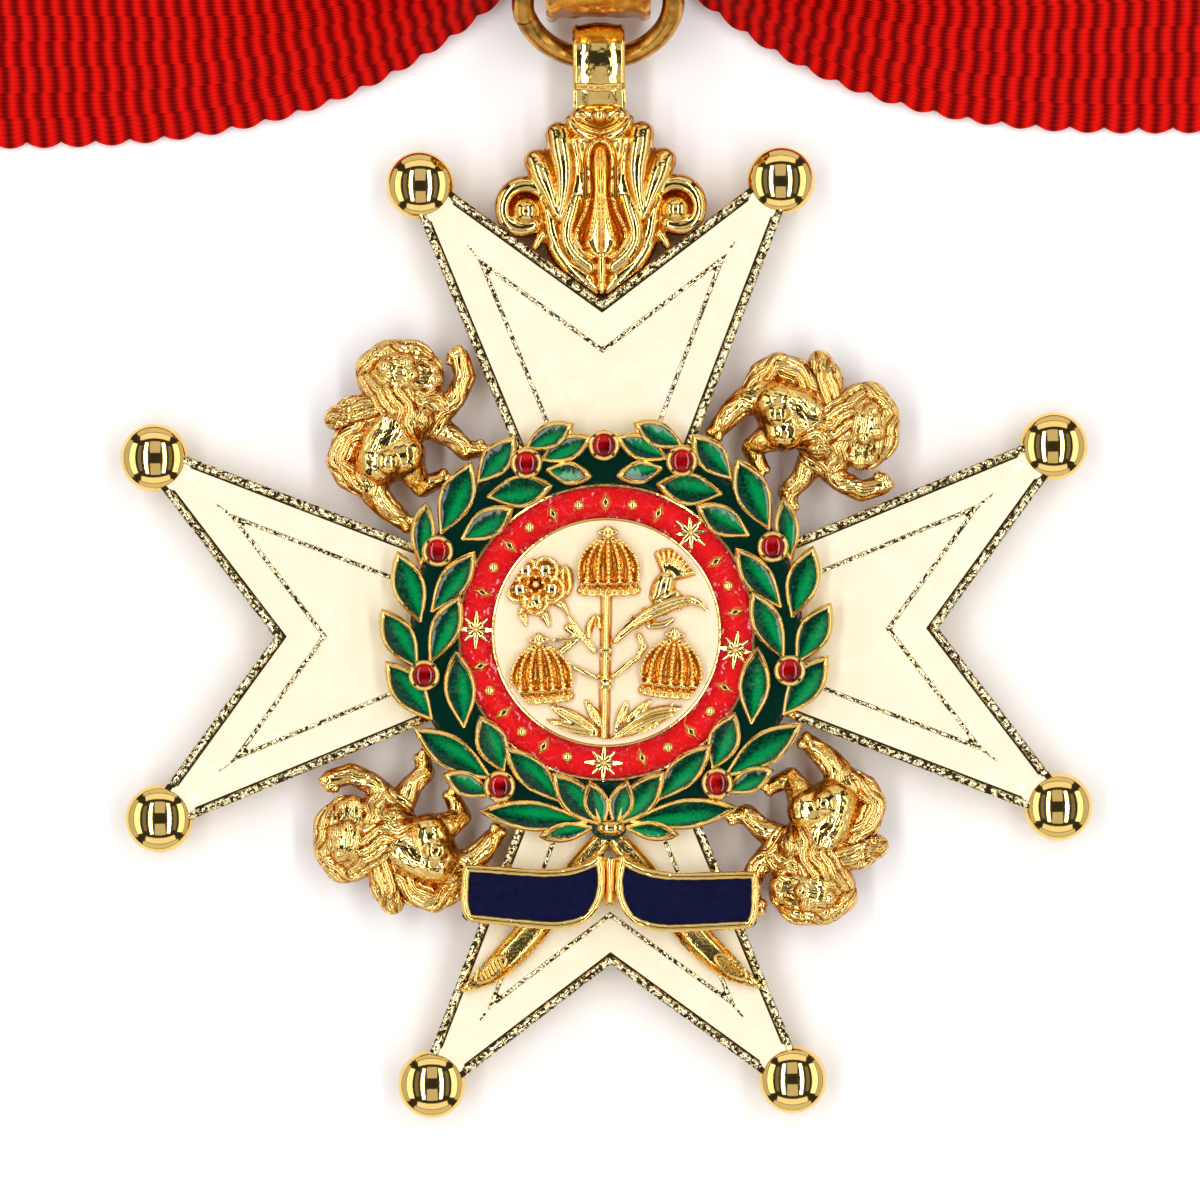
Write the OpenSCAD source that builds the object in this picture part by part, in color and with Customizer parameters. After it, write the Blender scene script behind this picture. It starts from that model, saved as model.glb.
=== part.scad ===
// Neck badge of an order, lying face up: an enamelled cross with ball finials and lions,
// a wreathed medallion and a scroll, hung by a ring and a keeper from a ribbon loop.
// +Z comes out of the badge's face and +Y points to the ribbon.

/* [Cross] */
// Distance from the centre to the line through a pair of finials
arm_reach = 30.4; // [29:0.1:33]
// Distance of a finial from the axis of its arm
finial_spread = 12.2; // [11:0.1:13]
// Width that an arm would have at the centre of the cross
arm_root_w = 2.1; // [1.6:0.1:2.6]
// Width of an arm's tip where it enters its finial
arm_tip_w = 1.76; // [1.4:0.02:2.2]
// Distance from the centre to the bottom of each notch
notch_reach = 22.4; // [21.6:0.1:23]
// Diameter of a ball finial
finial_d = 4.6; // [4.2:0.1:5]
// Thickness of the cross plate
plate_t = 2; // [1.7:0.1:2.4]
// Diameter of the plain disc at the back
back_d = 18; // [14:0.5:22]
// Width of the gold rim round an arm
rim_w = 0.6; // [0.45:0.05:0.8]
// Distance of the inner gold line from an arm's outline
line_inset = 2.7; // [2.4:0.1:3]
// Width of the inner gold line
line_w = 0.35; // [0.25:0.05:0.5]
// Depth of the cells for the white enamel
cell_depth = 0.6; // [0.4:0.05:0.8]

/* [Medallion] */
// Diameter of the cream centre with its gold rim
centre_d = 15.2; // [14.4:0.1:15.8]
// Diameter of the red band with its gold rim
band_d = 19.9; // [19.2:0.1:20.4]
// Diameter of the circle that the berries stand on
stem_d = 25.2; // [24.4:0.1:26]
// Thickness of the gold base
base_t = 0.7; // [0.5:0.05:0.9]
// Height of the leaf outlines above the base
leaf_relief = 1; // [0.8:0.05:1.3]
// Height of the rims and the ornament of the band above the base
band_relief = 0.5; // [0.4:0.05:0.55]
// Width of the widest leaf
leaf_w = 2.1; // [1.8:0.05:2.3]
// Width of a leaf's gold outline
leaf_wall = 0.24; // [0.18:0.02:0.3]
// Width of the gold rims of the band and the centre
band_rim_w = 0.3; // [0.2:0.05:0.4]
// Diameter of a berry
berry_d = 1.4; // [1.2:0.05:1.6]
// Wall of a berry's collet
collet_w = 0.22; // [0.16:0.02:0.3]
// Height of a berry above its collet
berry_crown = 0.35; // [0.2:0.05:0.5]
// Thickness of the cream and red enamel
field_t = 0.42; // [0.3:0.02:0.5]

/* [Centre relief] */
// Thickness of the sceptre's shaft
sceptre_w = 0.6; // [0.5:0.05:0.75]
// Width of a crown
crown_w = 4.3; // [3.9:0.05:4.4]
// Height of a crown without its orb
crown_h = 4; // [3.6:0.05:4.1]
// Height of the relief above the cream enamel
relief_t = 0.8; // [0.6:0.05:1.1]

/* [Lions] */
// Gap between a lion and the arms beside it
lion_gap = 0.12; // [0.1:0.02:0.4]
// Height of the middle of a lion above the table
lion_lift = 2.5; // [2.4:0.05:2.8]

/* [Scroll and tie] */
// Length of the scroll, both halves together
scroll_l = 20; // [18:0.2:21]
// Height of the scroll's plate
scroll_h = 3.75; // [3.3:0.05:4]
// Distance of the scroll's middle below the berry circle
scroll_drop = 5.2; // [5.1:0.05:5.6]
// Slope of the scroll across the badge
scroll_slope = 2.1; // [0:0.1:2.5]
// Thickness of the scroll
scroll_t = 1.1; // [0.9:0.05:1.4]
// Width of the scroll's gold rim
scroll_rim_w = 0.36; // [0.25:0.02:0.45]
// Thickness of the tie's streamers
tie_t = 0.9; // [0.6:0.05:1.1]
// Width of a streamer
tie_w = 2.1; // [1.7:0.05:2.4]

/* [Suspension] */
// Width of the cast leaf over its volutes
mount_w = 14.2; // [13.4:0.1:14.8]
// Height of the cast leaf without its bail
mount_h = 13.1; // [12.5:0.1:13.6]
// Width of the strap bail
bail_w = 3.5; // [3:0.1:4]
// Thickness of the strap of the bail
bail_t = 0.85; // [0.7:0.05:1]
// Outer diameter of the jump ring
ring_d = 11.6; // [11:0.1:12.4]
// Thickness of the jump ring's wire
wire_d = 1.48; // [1.2:0.04:1.6]
// Angle at which the jump ring leans up onto the ribbon
ring_lean = 45; // [40:1:48]
// Length of the ribbon keeper along the ribbon
keeper_l = 7; // [6:0.1:7.4]
// Width of the ribbon keeper across the ribbon
keeper_w = 12; // [11:0.1:13]
// Height of the ribbon keeper
keeper_h = 11; // [10.8:0.1:12]
// Wall of the ribbon keeper
keeper_wall = 0.6; // [0.5:0.05:0.8]

/* [Ribbon] */
// Width of the ribbon
ribbon_w = 44; // [38:1:50]
// Thickness of the ribbon's solid
ribbon_t = 1; // [1:0.05:1.2]
// Length of the ribbon loop along its middle
loop_l = 500; // [440:10:560]
// Width of the loop between the middles of its sides
loop_w = 150; // [130:5:170]
// Width of the ribbon where it is gathered in the keeper
gather_w = 6.8; // [6.2:0.1:7]
// Distance from the middle over which the pleats fade
gather_reach = 41; // [36:1:48]
// Number of pleats
pleats = 4; // [3:1:5]
// Fall of the ribbon's lower edge below the keeper's middle
ribbon_fall = 14.7; // [13:0.1:16]
// Length of the clasp along the ribbon
clasp_l = 11; // [9:0.5:14]
// Thickness of the clasp
clasp_t = 3; // [2.8:0.1:3.6]

/* [Hidden] */
$fn = 48;

// Gap between neighbouring pieces
fit = 0.06;
// Small overlap that joins two forms of one piece
weld = 0.05;

finial_r = finial_d / 2;
plate_lift = finial_r - plate_t / 2;
plate_top = finial_r + plate_t / 2;
centre_r = centre_d / 2;
band_r = band_d / 2;
stem_r = stem_d / 2;
medal_z = plate_top + fit;
base_top = medal_z + base_t;
field_z = base_top + fit;
emblem_z = field_z + field_t + fit;
wire_r = wire_d / 2;
ring_r = ring_d / 2 - wire_r;

function unit(v) = v / norm(v);
function across(v) = [v[1], -v[0]];
function lerp(a, b, t) = a + (b - a) * t;
// Point at a clock position of the medallion: the angle runs from the foot up the left side
function polar(angle, r) = [-r * sin(angle), -r * cos(angle)];
// Direction of a path at one of its points
function heading(path, i) =
    unit(path[min(i + 1, len(path) - 1)] - path[max(i - 1, 0)]);
// Outline of a strip of changing width along a path
function strip(path, widths) = concat(
    [for (i = [0 : len(path) - 1]) path[i] + across(heading(path, i)) * widths[i] / 2],
    [for (i = [len(path) - 1 : -1 : 0]) path[i] - across(heading(path, i)) * widths[i] / 2]
);
function scaled(path, s) = [for (p = path) [p[0] * s, p[1] * s]];
// Outline of a leaf from its base to its tip: half widths follow a sine that peaks past the middle
leaf_steps = 6;
function leaf(base, tip, w) = concat(
    [for (i = [0 : leaf_steps])
        lerp(base, tip, i / leaf_steps)
        + across(unit(tip - base)) * w / 2 * sin(180 * pow(i / leaf_steps, 1.1))],
    [for (i = [leaf_steps - 1 : -1 : 1])
        lerp(base, tip, i / leaf_steps)
        - across(unit(tip - base)) * w / 2 * sin(180 * pow(i / leaf_steps, 1.1))]
);

// Cross

arm_turns = [0, -90, 180, 90];
finial = [finial_spread, arm_reach];
arm_root = [arm_root_w / 2, 0];
notch = [0, notch_reach];
tip_out = finial + across(unit(finial - arm_root)) * arm_tip_w / 2;
tip_in = finial - across(unit(finial - notch)) * arm_tip_w / 2;
// Radius round the centre inside which the cells are hidden by the medallion
cell_start = stem_r - 0.3;

module arm_outline() {
    polygon([
        arm_root, tip_out, finial, tip_in, notch,
        [-tip_in[0], tip_in[1]], [-finial[0], finial[1]], [-tip_out[0], tip_out[1]], [-arm_root[0], 0]
    ]);
}

// The part of an arm that lies inside an inset and clear of the medallion and the finials
module arm_field(inset) {
    difference() {
        offset(delta = -inset) arm_outline();
        circle(r = cell_start);
        for (side = [-1, 1])
            translate([side * finial[0], finial[1]]) circle(r = finial_r + fit);
    }
}

module band_cell() {
    difference() {
        arm_field(rim_w);
        offset(delta = -(line_inset - line_w / 2)) arm_outline();
    }
}

module panel_cell() {
    arm_field(line_inset + line_w / 2);
}

module cross_frame() {
    color("goldenrod") {
        difference() {
            union() {
                translate([0, 0, plate_lift])
                    linear_extrude(plate_t)
                        for (turn = arm_turns) rotate(turn) arm_outline();
                cylinder(d = back_d, h = finial_r);
            }
            for (turn = arm_turns)
                rotate(turn)
                    translate([0, 0, plate_top - cell_depth])
                        linear_extrude(plate_t) {
                            band_cell();
                            panel_cell();
                        }
        }
        for (turn = arm_turns)
            rotate(turn)
                for (side = [-1, 1])
                    translate([side * finial[0], finial[1], finial_r]) sphere(d = finial_d);
    }
}

// White enamel that fills a cell, a fit clear of its walls and floor
module enamel_fill() {
    color("ivory")
        translate([0, 0, plate_top - cell_depth + fit])
            linear_extrude(cell_depth - fit)
                offset(delta = -fit) children();
}

module enamel_band(turn) {
    rotate(turn) enamel_fill() band_cell();
}

module enamel_panel(turn) {
    rotate(turn) enamel_fill() panel_cell();
}

// Lions

// Half of the free width between two arms, seen at a distance from the centre
arm_slope = (tip_out[0] - arm_root[0]) / tip_out[1];
function free_half(r) = (r / sqrt(2) * (1 - arm_slope) - arm_root[0]) / sqrt(1 + arm_slope * arm_slope);
lion_seat = stem_r + 1.8;
lion_mid = 20;
lion_size = 1.47 * free_half(lion_mid);

// Each limb is a row of joints: along the back, out from the feet, up and radius,
// as shares of the lion's size; along is clockwise round the badge
lion_limbs = [
    // mane over the head
    [[0.18, 0.93, 0.01, 0.12], [0.3, 0.9, 0.02, 0.13], [0.4, 0.78, 0.03, 0.14], [0.43, 0.66, 0.02, 0.1]],
    // face and muzzle
    [[0.28, 0.78, 0.05, 0.17], [0.39, 0.63, 0.04, 0.11]],
    // neck and chest
    [[0.16, 0.87, 0, 0.14], [0.14, 0.7, 0.03, 0.175], [0.08, 0.52, 0, 0.165]],
    [[0.25, 0.56, 0.02, 0.13], [0.3, 0.43, 0, 0.1], [0.18, 0.39, 0, 0.1]],
    // raised foreleg
    [[0.26, 0.41, 0, 0.095], [0.42, 0.4, 0, 0.075], [0.57, 0.45, 0, 0.07], [0.64, 0.57, 0, 0.066]],
    // standing foreleg
    [[0.18, 0.39, -0.02, 0.1], [0.22, 0.23, -0.03, 0.075], [0.22, 0.1, -0.05, 0.068],
        [0.29, 0.04, -0.05, 0.05]],
    // body and haunch
    [[0.04, 0.58, 0, 0.165], [-0.13, 0.54, 0, 0.165], [-0.24, 0.47, 0, 0.175], [-0.1, 0.38, 0.02, 0.145]],
    // near hind leg
    [[-0.1, 0.36, 0.02, 0.13], [-0.14, 0.25, 0, 0.09], [-0.17, 0.14, -0.04, 0.068],
        [-0.04, 0.09, -0.05, 0.056]],
    // far hind leg
    [[-0.35, 0.45, -0.02, 0.125], [-0.42, 0.34, -0.03, 0.095], [-0.43, 0.21, -0.04, 0.082],
        [-0.42, 0.07, -0.05, 0.06]],
    // tail
    [[-0.42, 0.43, -0.03, 0.09], [-0.47, 0.55, -0.02, 0.085], [-0.43, 0.67, 0, 0.082],
        [-0.3, 0.73, 0.01, 0.085], [-0.14, 0.74, 0.02, 0.09]],
    [[0, 0.72, 0.03, 0.105], [-0.13, 0.83, 0.03, 0.105], [-0.24, 0.88, 0.02, 0.075]]
];

module lion_form() {
    for (limb = lion_limbs)
        for (i = [1 : len(limb) - 1])
            hull()
                for (joint = [limb[i - 1], limb[i]])
                    translate([joint[0], joint[1], joint[2]] * lion_size)
                        sphere(r = 1.08 * joint[3] * lion_size, $fn = 8);
}

// A lion is cut clear of the arms beside it and of the medallion and the scroll over it
module lion(turn) {
    color("gold")
        difference() {
            rotate(turn) translate([0, lion_seat, lion_lift]) lion_form();
            linear_extrude(2 * finial_d)
                for (arm = arm_turns) rotate(arm) offset(delta = lion_gap) arm_outline();
            translate([0, 0, plate_top]) cylinder(r = 1.22 * stem_r, h = finial_d);
            at_scroll(plate_top)
                linear_extrude(finial_d)
                    square([scroll_l + 2 * lion_gap, 1.3 * scroll_h], center = true);
        }
}

// Medallion

// Leaves of one side: angle and reach of the base, angle and reach of the tip, width;
// angles run from the foot, reaches are shares of the berry circle, widths of the widest leaf
leaf_rows = [
    [5, 1.045, 18.4, 1.142, 0.5],
    [6.5, 1.015, 35.8, 1.164, 0.85],
    [2.5, 1.03, 20.9, 0.81, 0.88],
    [15.5, 0.935, 41.5, 0.82, 0.85],
    [37, 0.925, 56.4, 0.81, 0.9],
    [39, 0.995, 63.7, 1.143, 0.95],
    [36.5, 1.07, 49.3, 1.146, 0.68],
    [64.3, 1.043, 82.7, 1.182, 0.95],
    [57, 0.915, 82.8, 0.81, 0.9],
    [80.2, 1.03, 96.2, 1.199, 0.92],
    [81, 0.955, 104.2, 0.81, 0.85],
    [94, 0.995, 111.4, 1.188, 0.95],
    [97.5, 0.94, 121.5, 0.825, 0.85],
    [111, 1.06, 126, 1.182, 0.66],
    [121.6, 1.03, 141.9, 1.155, 1],
    [123.5, 0.92, 143.1, 0.832, 0.85],
    [140.2, 1.06, 155.2, 1.145, 0.85],
    [139.5, 0.965, 159.7, 0.837, 0.95],
    [157, 1.075, 171.2, 1.126, 0.7],
    [160, 0.985, 176, 1.045, 0.7],
    [160.5, 0.925, 174.7, 0.84, 0.62]
];
// Berries of one side, and the one at the head of the wreath, as angles from the foot
berry_angles = [35.5, 77.5, 116.5, 155.5];
berries = concat([for (side = [1, -1]) for (a = berry_angles) side * a], [180]);
// Stretches of the red band between its sprigs: start, end and number of motifs
band_runs = [[49, 178, 9], [178, 268, 6], [268, 351.5, 5], [351.5, 409, 3]];
band_mid_r = (centre_r + band_r) / 2;
band_space = band_r - centre_r - band_rim_w;
knot = [0, -1.052 * stem_r];
collet_r = berry_d / 2 + fit + collet_w;

// Share by which a leaf's base is drawn back under its neighbours
leaf_back = 0.08;
module leaf_outline(row, side) {
    root = polar(row[0], row[1] * stem_r);
    tip = polar(row[2], row[3] * stem_r);
    base = lerp(root, tip, -leaf_back);
    polygon(leaf([base[0] * side, base[1]], [tip[0] * side, tip[1]], row[4] * leaf_w));
}

// The two leaves that stand in the middle of the foot
module foot_leaf(side) {
    polygon(leaf([side * 0.03, -1.03] * stem_r, [side * 0.098, -0.805] * stem_r, 0.7 * leaf_w));
}

module all_leaves(inset) {
    for (side = [-1, 1]) {
        for (row = leaf_rows) offset(delta = -inset) leaf_outline(row, side);
        offset(delta = -inset) foot_leaf(side);
    }
}

module collets(r) {
    for (a = berries) translate(polar(a, stem_r)) circle(r = r, $fn = 24);
}

// Plan of the gold base under the leaves
module wreath_plan() {
    difference() {
        union() {
            circle(r = stem_r + 0.3 * leaf_w);
            all_leaves(0);
        }
        circle(r = band_r - band_rim_w / 4);
    }
}

// Gold outlines of the leaves: each one stands whole above those that it crosses
module leaf_lines() {
    difference() {
        union() {
            for (side = [-1, 1]) {
                for (row = leaf_rows)
                    difference() {
                        leaf_outline(row, side);
                        offset(delta = -leaf_wall) leaf_outline(row, side);
                    }
                difference() {
                    foot_leaf(side);
                    offset(delta = -leaf_wall) foot_leaf(side);
                }
            }
            collets(collet_r);
            translate(knot) circle(r = leaf_w / 2);
        }
        collets(berry_d / 2 + fit);
        circle(r = band_r - band_rim_w / 4);
    }
}

// Star-shaped sprig of the red band
module sprig(size) {
    polygon([for (i = [0 : 15]) (i % 2 == 0 ? 0.5 : 0.27) * size * [sin(22.5 * i), cos(22.5 * i)]]);
}

// Plain ornament in the place of the motto: lozenges and pellets between four sprigs
module band_ornament() {
    for (run = band_runs) {
        rotate(run[0]) translate([band_mid_r, 0]) sprig(1.05 * band_space);
        for (i = [1 : run[2]])
            rotate(lerp(run[0], run[1], (i + 0.4) / (run[2] + 1.8)))
                translate([band_mid_r, 0])
                    if (i % 2 == 1) scale([0.62, 0.36]) circle(d = band_space, $fn = 4);
                    else circle(d = 0.3 * band_space, $fn = 12);
    }
}

module ring_2d(r_out, w) {
    difference() {
        circle(r = r_out, $fn = 96);
        circle(r = r_out - w, $fn = 96);
    }
}

module wreath() {
    color("gold") {
        translate([0, 0, medal_z]) {
            linear_extrude(base_t) offset(delta = 0.001) wreath_plan();
            cylinder(r = band_r, h = base_t, $fn = 96);
        }
        translate([0, 0, base_top - weld]) {
            linear_extrude(leaf_relief + weld) offset(delta = 0.001) leaf_lines();
            linear_extrude(band_relief + weld) {
                ring_2d(band_r, band_rim_w / 2);
                ring_2d(centre_r, band_rim_w);
            }
            linear_extrude(band_relief + weld) offset(delta = 0.001) band_ornament();
        }
        translate([knot[0], knot[1], base_top + leaf_relief - leaf_w / 4]) sphere(d = 0.98 * leaf_w);
    }
}

module wreath_enamel() {
    color("darkgreen")
        translate([0, 0, field_z])
            linear_extrude(0.75 * leaf_relief)
                offset(delta = -fit)
                    difference() {
                        wreath_plan();
                        leaf_lines();
                        collets(collet_r);
                        circle(r = band_r);
                        translate(knot) circle(d = leaf_w);
                    }
}

module band_enamel() {
    color("firebrick")
        translate([0, 0, field_z])
            linear_extrude(field_t)
                offset(delta = -fit)
                    difference() {
                        ring_2d(band_r - band_rim_w / 2, band_r - centre_r - band_rim_w / 2);
                        band_ornament();
                    }
}

module centre_enamel() {
    color("ivory")
        translate([0, 0, field_z]) cylinder(r = centre_r - band_rim_w - fit, h = field_t, $fn = 96);
}

// Domed red stone in its collet
module berry(index) {
    color("red")
        translate(concat(polar(berries[index - 1], stem_r), field_z)) {
            cylinder(d = berry_d, h = leaf_relief - fit);
            translate([0, 0, leaf_relief - fit])
                intersection() {
                    cylinder(d = berry_d, h = berry_crown);
                    translate([0, 0, berry_crown - dome_r(berry_d / 2, berry_crown)])
                        sphere(r = dome_r(berry_d / 2, berry_crown));
                }
        }
}
// Radius of the sphere whose cap has a given radius and height
function dome_r(r, h) = (r * r + h * h) / (2 * h);

// Relief of the centre: places are shares of the free radius of the cream field

emblem_r = centre_r - band_rim_w - fit;
sceptre_x = -0.01 * emblem_r;
sceptre_top = 0.305 * emblem_r;
crown_top_foot = [0.03, 0.325] * emblem_r;
crown_left_foot = [-0.6, -0.68] * emblem_r;
crown_right_foot = [0.575, -0.64] * emblem_r;

module relief(height) {
    color("gold") translate([0, 0, emblem_z]) linear_extrude(height * relief_t) children();
}

// Outline of a crown's cap: a dome that bulges over its band
function cap_half(t) = 0.5 * sqrt(max(0, 1 - pow(abs(t - 0.22) / (t < 0.22 ? 0.72 : 0.78), 2.2)));
cap_steps = 7;
function cap_rib(share, half) = concat(
    [for (i = [0 : cap_steps]) [share * cap_half(i / cap_steps) * crown_w + half,
        lerp(crown_band_h, crown_h, i / cap_steps)]],
    [for (i = [cap_steps : -1 : 0]) [share * cap_half(i / cap_steps) * crown_w - half,
        lerp(crown_band_h, crown_h, i / cap_steps)]]
);
crown_band_h = 0.31 * crown_h;
function cap_point(i, side) =
    [side * cap_half(i / cap_steps) * crown_w, lerp(crown_band_h, crown_h, i / cap_steps)];
orb_r = 0.13 * crown_w;

module crown(foot) {
    translate(foot) {
        relief(0.55) polygon(concat(
            [for (i = [0 : cap_steps]) cap_point(i, 1)],
            [for (i = [cap_steps : -1 : 0]) cap_point(i, -1)]
        ));
        relief(0.85)
            for (share = [-0.92, -0.48, 0, 0.48, 0.92])
                polygon(cap_rib(share, 0.035 * crown_w));
        relief(0.85)
            translate([-0.46 * crown_w, 0]) square([0.92 * crown_w, crown_band_h + weld]);
        relief(1) translate([0, crown_h + 0.7 * orb_r]) circle(r = orb_r, $fn = 24);
        relief(0.8) translate([-0.5 * orb_r, crown_h - 0.6 * orb_r]) square([orb_r, orb_r]);
    }
}

// Twigs of the sceptre that carry the lower crowns: root on the shaft and end, as shares
sceptre_twigs = [
    [[0, -0.44], [-0.215, -0.26]],
    [[0, -0.44], [0.2, -0.26]]
];

module sceptre_shaft() {
    foot_y = -0.97 * emblem_r;
    translate([sceptre_x - sceptre_w / 2, foot_y]) square([sceptre_w, sceptre_top - foot_y]);
    for (twig = sceptre_twigs)
        polygon(strip([twig[0] * emblem_r + [sceptre_x, 0], twig[1] * emblem_r], [0.6, 0.6] * sceptre_w));
}

module sceptre_knops() {
    for (y = [-0.2, -0.48])
        translate([sceptre_x - 0.8 * sceptre_w, y * emblem_r]) square([1.6 * sceptre_w, 1.3 * sceptre_w]);
}

module sceptre() {
    relief(0.8) sceptre_shaft();
    relief(1) sceptre_knops();
}

// Relief beside the sceptre, a fit clear of it
module spray_relief(height) {
    relief(height)
        difference() {
            children();
            offset(delta = 1.5 * fit) {
                sceptre_shaft();
                sceptre_knops();
            }
        }
}

rose = [-0.63, 0.405] * emblem_r;
rose_r = 0.235 * emblem_r;
// Leaves and bud of the rose: base, tip and width, as shares of the free radius
rose_leaves = [
    [[-0.7, 0.23], [-0.83, 0.05], 0.16],
    [[-0.6, 0.22], [-0.56, 0.04], 0.15],
    [[-0.42, 0.2], [-0.36, 0.62], 0.24],
    [[-0.5, 0.2], [-0.27, 0.2], 0.16]
];

module rose_spray() {
    relief(0.7)
        for (i = [0 : 4])
            translate(rose + 0.55 * rose_r * [sin(72 * i), cos(72 * i)])
                circle(r = 0.52 * rose_r, $fn = 24);
    relief(1) translate(rose) circle(r = 0.45 * rose_r, $fn = 24);
    spray_relief(0.6) {
        for (row = rose_leaves) polygon(leaf(row[0] * emblem_r, row[1] * emblem_r, row[2] * emblem_r));
        polygon(strip([rose, [-0.4, 0.2] * emblem_r, [sceptre_x / emblem_r - 0.07, -0.155] * emblem_r],
            [0.5, 1, 0.6] * sceptre_w));
    }
}

thistle = [0.53, 0.405] * emblem_r;
thistle_r = 0.135 * emblem_r;
// Path and widths of the thistle's big leaf, as shares of the free radius
thistle_leaf_path = [
    [0.075, -0.06], [0.2, 0.06], [0.34, 0.14], [0.5, 0.2], [0.66, 0.235], [0.82, 0.245], [0.91, 0.18]
];
thistle_leaf_widths = [0.04, 0.1, 0.24, 0.13, 0.25, 0.12, 0.03];

module thistle_spray() {
    relief(0.9) translate(thistle) circle(r = thistle_r, $fn = 24);
    spray_relief(0.7) {
        polygon([
            thistle + [-0.09, 0.1] * emblem_r, thistle + [-0.07, 0.37] * emblem_r,
            thistle + [0.12, 0.31] * emblem_r, thistle + [0.25, 0.16] * emblem_r,
            thistle + [0.11, 0.07] * emblem_r
        ]);
        polygon(strip([thistle, [0.4, 0.17] * emblem_r], [1, 1] * sceptre_w));
        polygon(strip(scaled(thistle_leaf_path, emblem_r), thistle_leaf_widths * emblem_r));
    }
}

// Leaves at the foot of the sceptre: base, tip and width, as shares of the free radius
left_leaves = [
    [[-0.07, -0.9], [-0.46, -0.7], 0.13],
    [[-0.07, -0.92], [-0.5, -0.8], 0.14],
    [[-0.07, -0.88], [-0.17, -0.63], 0.11]
];
right_leaf_path = [[0.06, -0.94], [0.2, -0.86], [0.34, -0.78], [0.48, -0.735], [0.6, -0.71], [0.7, -0.69]];
right_leaf_widths = [0.05, 0.1, 0.2, 0.1, 0.14, 0.04];

module leaf_spray_left() {
    spray_relief(0.6) {
        for (row = left_leaves) polygon(leaf(row[0] * emblem_r, row[1] * emblem_r, row[2] * emblem_r));
        polygon(strip([[-0.055, -0.93] * emblem_r, [-0.12, -0.84] * emblem_r], [0.3, 0.5] * sceptre_w));
    }
}

module leaf_spray_right() {
    spray_relief(0.6) {
        polygon(strip(scaled(right_leaf_path, emblem_r), right_leaf_widths * emblem_r));
        polygon(leaf([0.1, -0.93] * emblem_r, [0.19, -0.64] * emblem_r, 0.11 * emblem_r));
    }
}

// Scroll and tie

scroll_mid = [0, -(stem_r + scroll_drop)];
tie_z = plate_top + fit;
scroll_z = tie_z + tie_t + fit;
// Outline of half a scroll: shares of its length outward from the pillar and of its height
// up from the middle
half_scroll = [
    [0.03, 0.8], [0.075, 0.68], [0.2, 0.53], [0.37, 0.46], [0.6, 0.48], [0.95, 0.54], [1, 0.5],
    [1, -0.48], [0.82, -0.52], [0.6, -0.56], [0.36, -0.6], [0.23, -0.56], [0.12, -0.46], [0.04, -0.22],
    [0, 0.1], [0, 0.45]
];
pillar_w = 0.037 * scroll_l;

module half_scroll_outline(side) {
    polygon([for (p = half_scroll)
        [side * (pillar_w / 2 + p[0] * (scroll_l - pillar_w) / 2), p[1] * scroll_h]]);
}

module at_scroll(z) {
    translate([scroll_mid[0], scroll_mid[1], z]) rotate(-scroll_slope) children();
}

module scroll_frame() {
    color("gold") at_scroll(scroll_z) {
        difference() {
            linear_extrude(scroll_t)
                for (side = [-1, 1]) half_scroll_outline(side);
            translate([0, 0, scroll_t / 2])
                linear_extrude(scroll_t)
                    for (side = [-1, 1]) offset(delta = -scroll_rim_w) half_scroll_outline(side);
        }
        translate([0, 0.12 * scroll_h, 0])
            linear_extrude(0.7 * scroll_t)
                square([pillar_w + scroll_rim_w, 1.05 * scroll_h], center = true);
    }
}

module scroll_enamel(side) {
    color("midnightblue")
        at_scroll(scroll_z + scroll_t / 2 + fit)
            linear_extrude(scroll_t / 2 - 2 * fit)
                offset(delta = -(scroll_rim_w + fit)) half_scroll_outline(side);
}

// Middle line of a streamer from the knot to its tip, as shares of the berry circle,
// and its widths as shares of the streamer's width
tie_path = [[0.02, -1.1], [0.11, -1.19], [0.25, -1.38], [0.42, -1.6], [0.59, -1.77], [0.78, -1.895]];
tie_widths = [0.45, 0.85, 1, 1, 0.85, 0.15];

module tie_ribbon(side) {
    color("gold")
        translate([0, 0, tie_z])
            linear_extrude(tie_t)
                offset(delta = 0.001)
                    intersection() {
                        difference() {
                            polygon(strip(
                                [for (p = tie_path) [side * p[0], p[1]] * stem_r], tie_widths * tie_w));
                            offset(delta = 2 * fit) wreath_plan();
                            translate(knot) circle(r = leaf_w / 2 + 2 * fit);
                        }
                        translate([side > 0 ? fit : -fit - 3 * stem_r, -3 * stem_r]) square(3 * stem_r);
                    }
}

// Suspension

notch_slope = (tip_in[1] - notch[1]) / tip_in[0];
function notch_line(x) = notch_reach + notch_slope * abs(x);
// Lobes of one half of the cast leaf: out from the axis as a share of half the width,
// up from the notch's edge as a share of the height, radius as a share of half the width
// and the height of the middle above the back as a share of half the width
mount_lobes = [
    // fold round the tongue's foot
    [[0.03, 0.13, 0.1, 0.12], [0.2, 0.24, 0.12, 0.18], [0.235, 0.38, 0.1, 0.21]],
    // upper lobe
    [[0.24, 0.32, 0.08, 0.12], [0.32, 0.48, 0.15, 0.13], [0.385, 0.665, 0.12, 0.15]],
    // side lobe
    [[0.3, 0.2, 0.09, 0.1], [0.48, 0.32, 0.13, 0.13], [0.62, 0.445, 0.13, 0.13]],
    // volute and its bead
    [[0.14, 0.1, 0.09, 0.08], [0.48, 0.16, 0.13, 0.08], [0.64, 0.24, 0.11, 0.12], [0.78, 0.27, 0.1, 0.12],
        [0.9, 0.2, 0.1, 0.12], [0.83, 0.12, 0.11, 0.1]],
    [[0.77, 0.17, 0.13, 0.17], [0.66, 0.13, 0.13, 0.08]]
];
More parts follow.
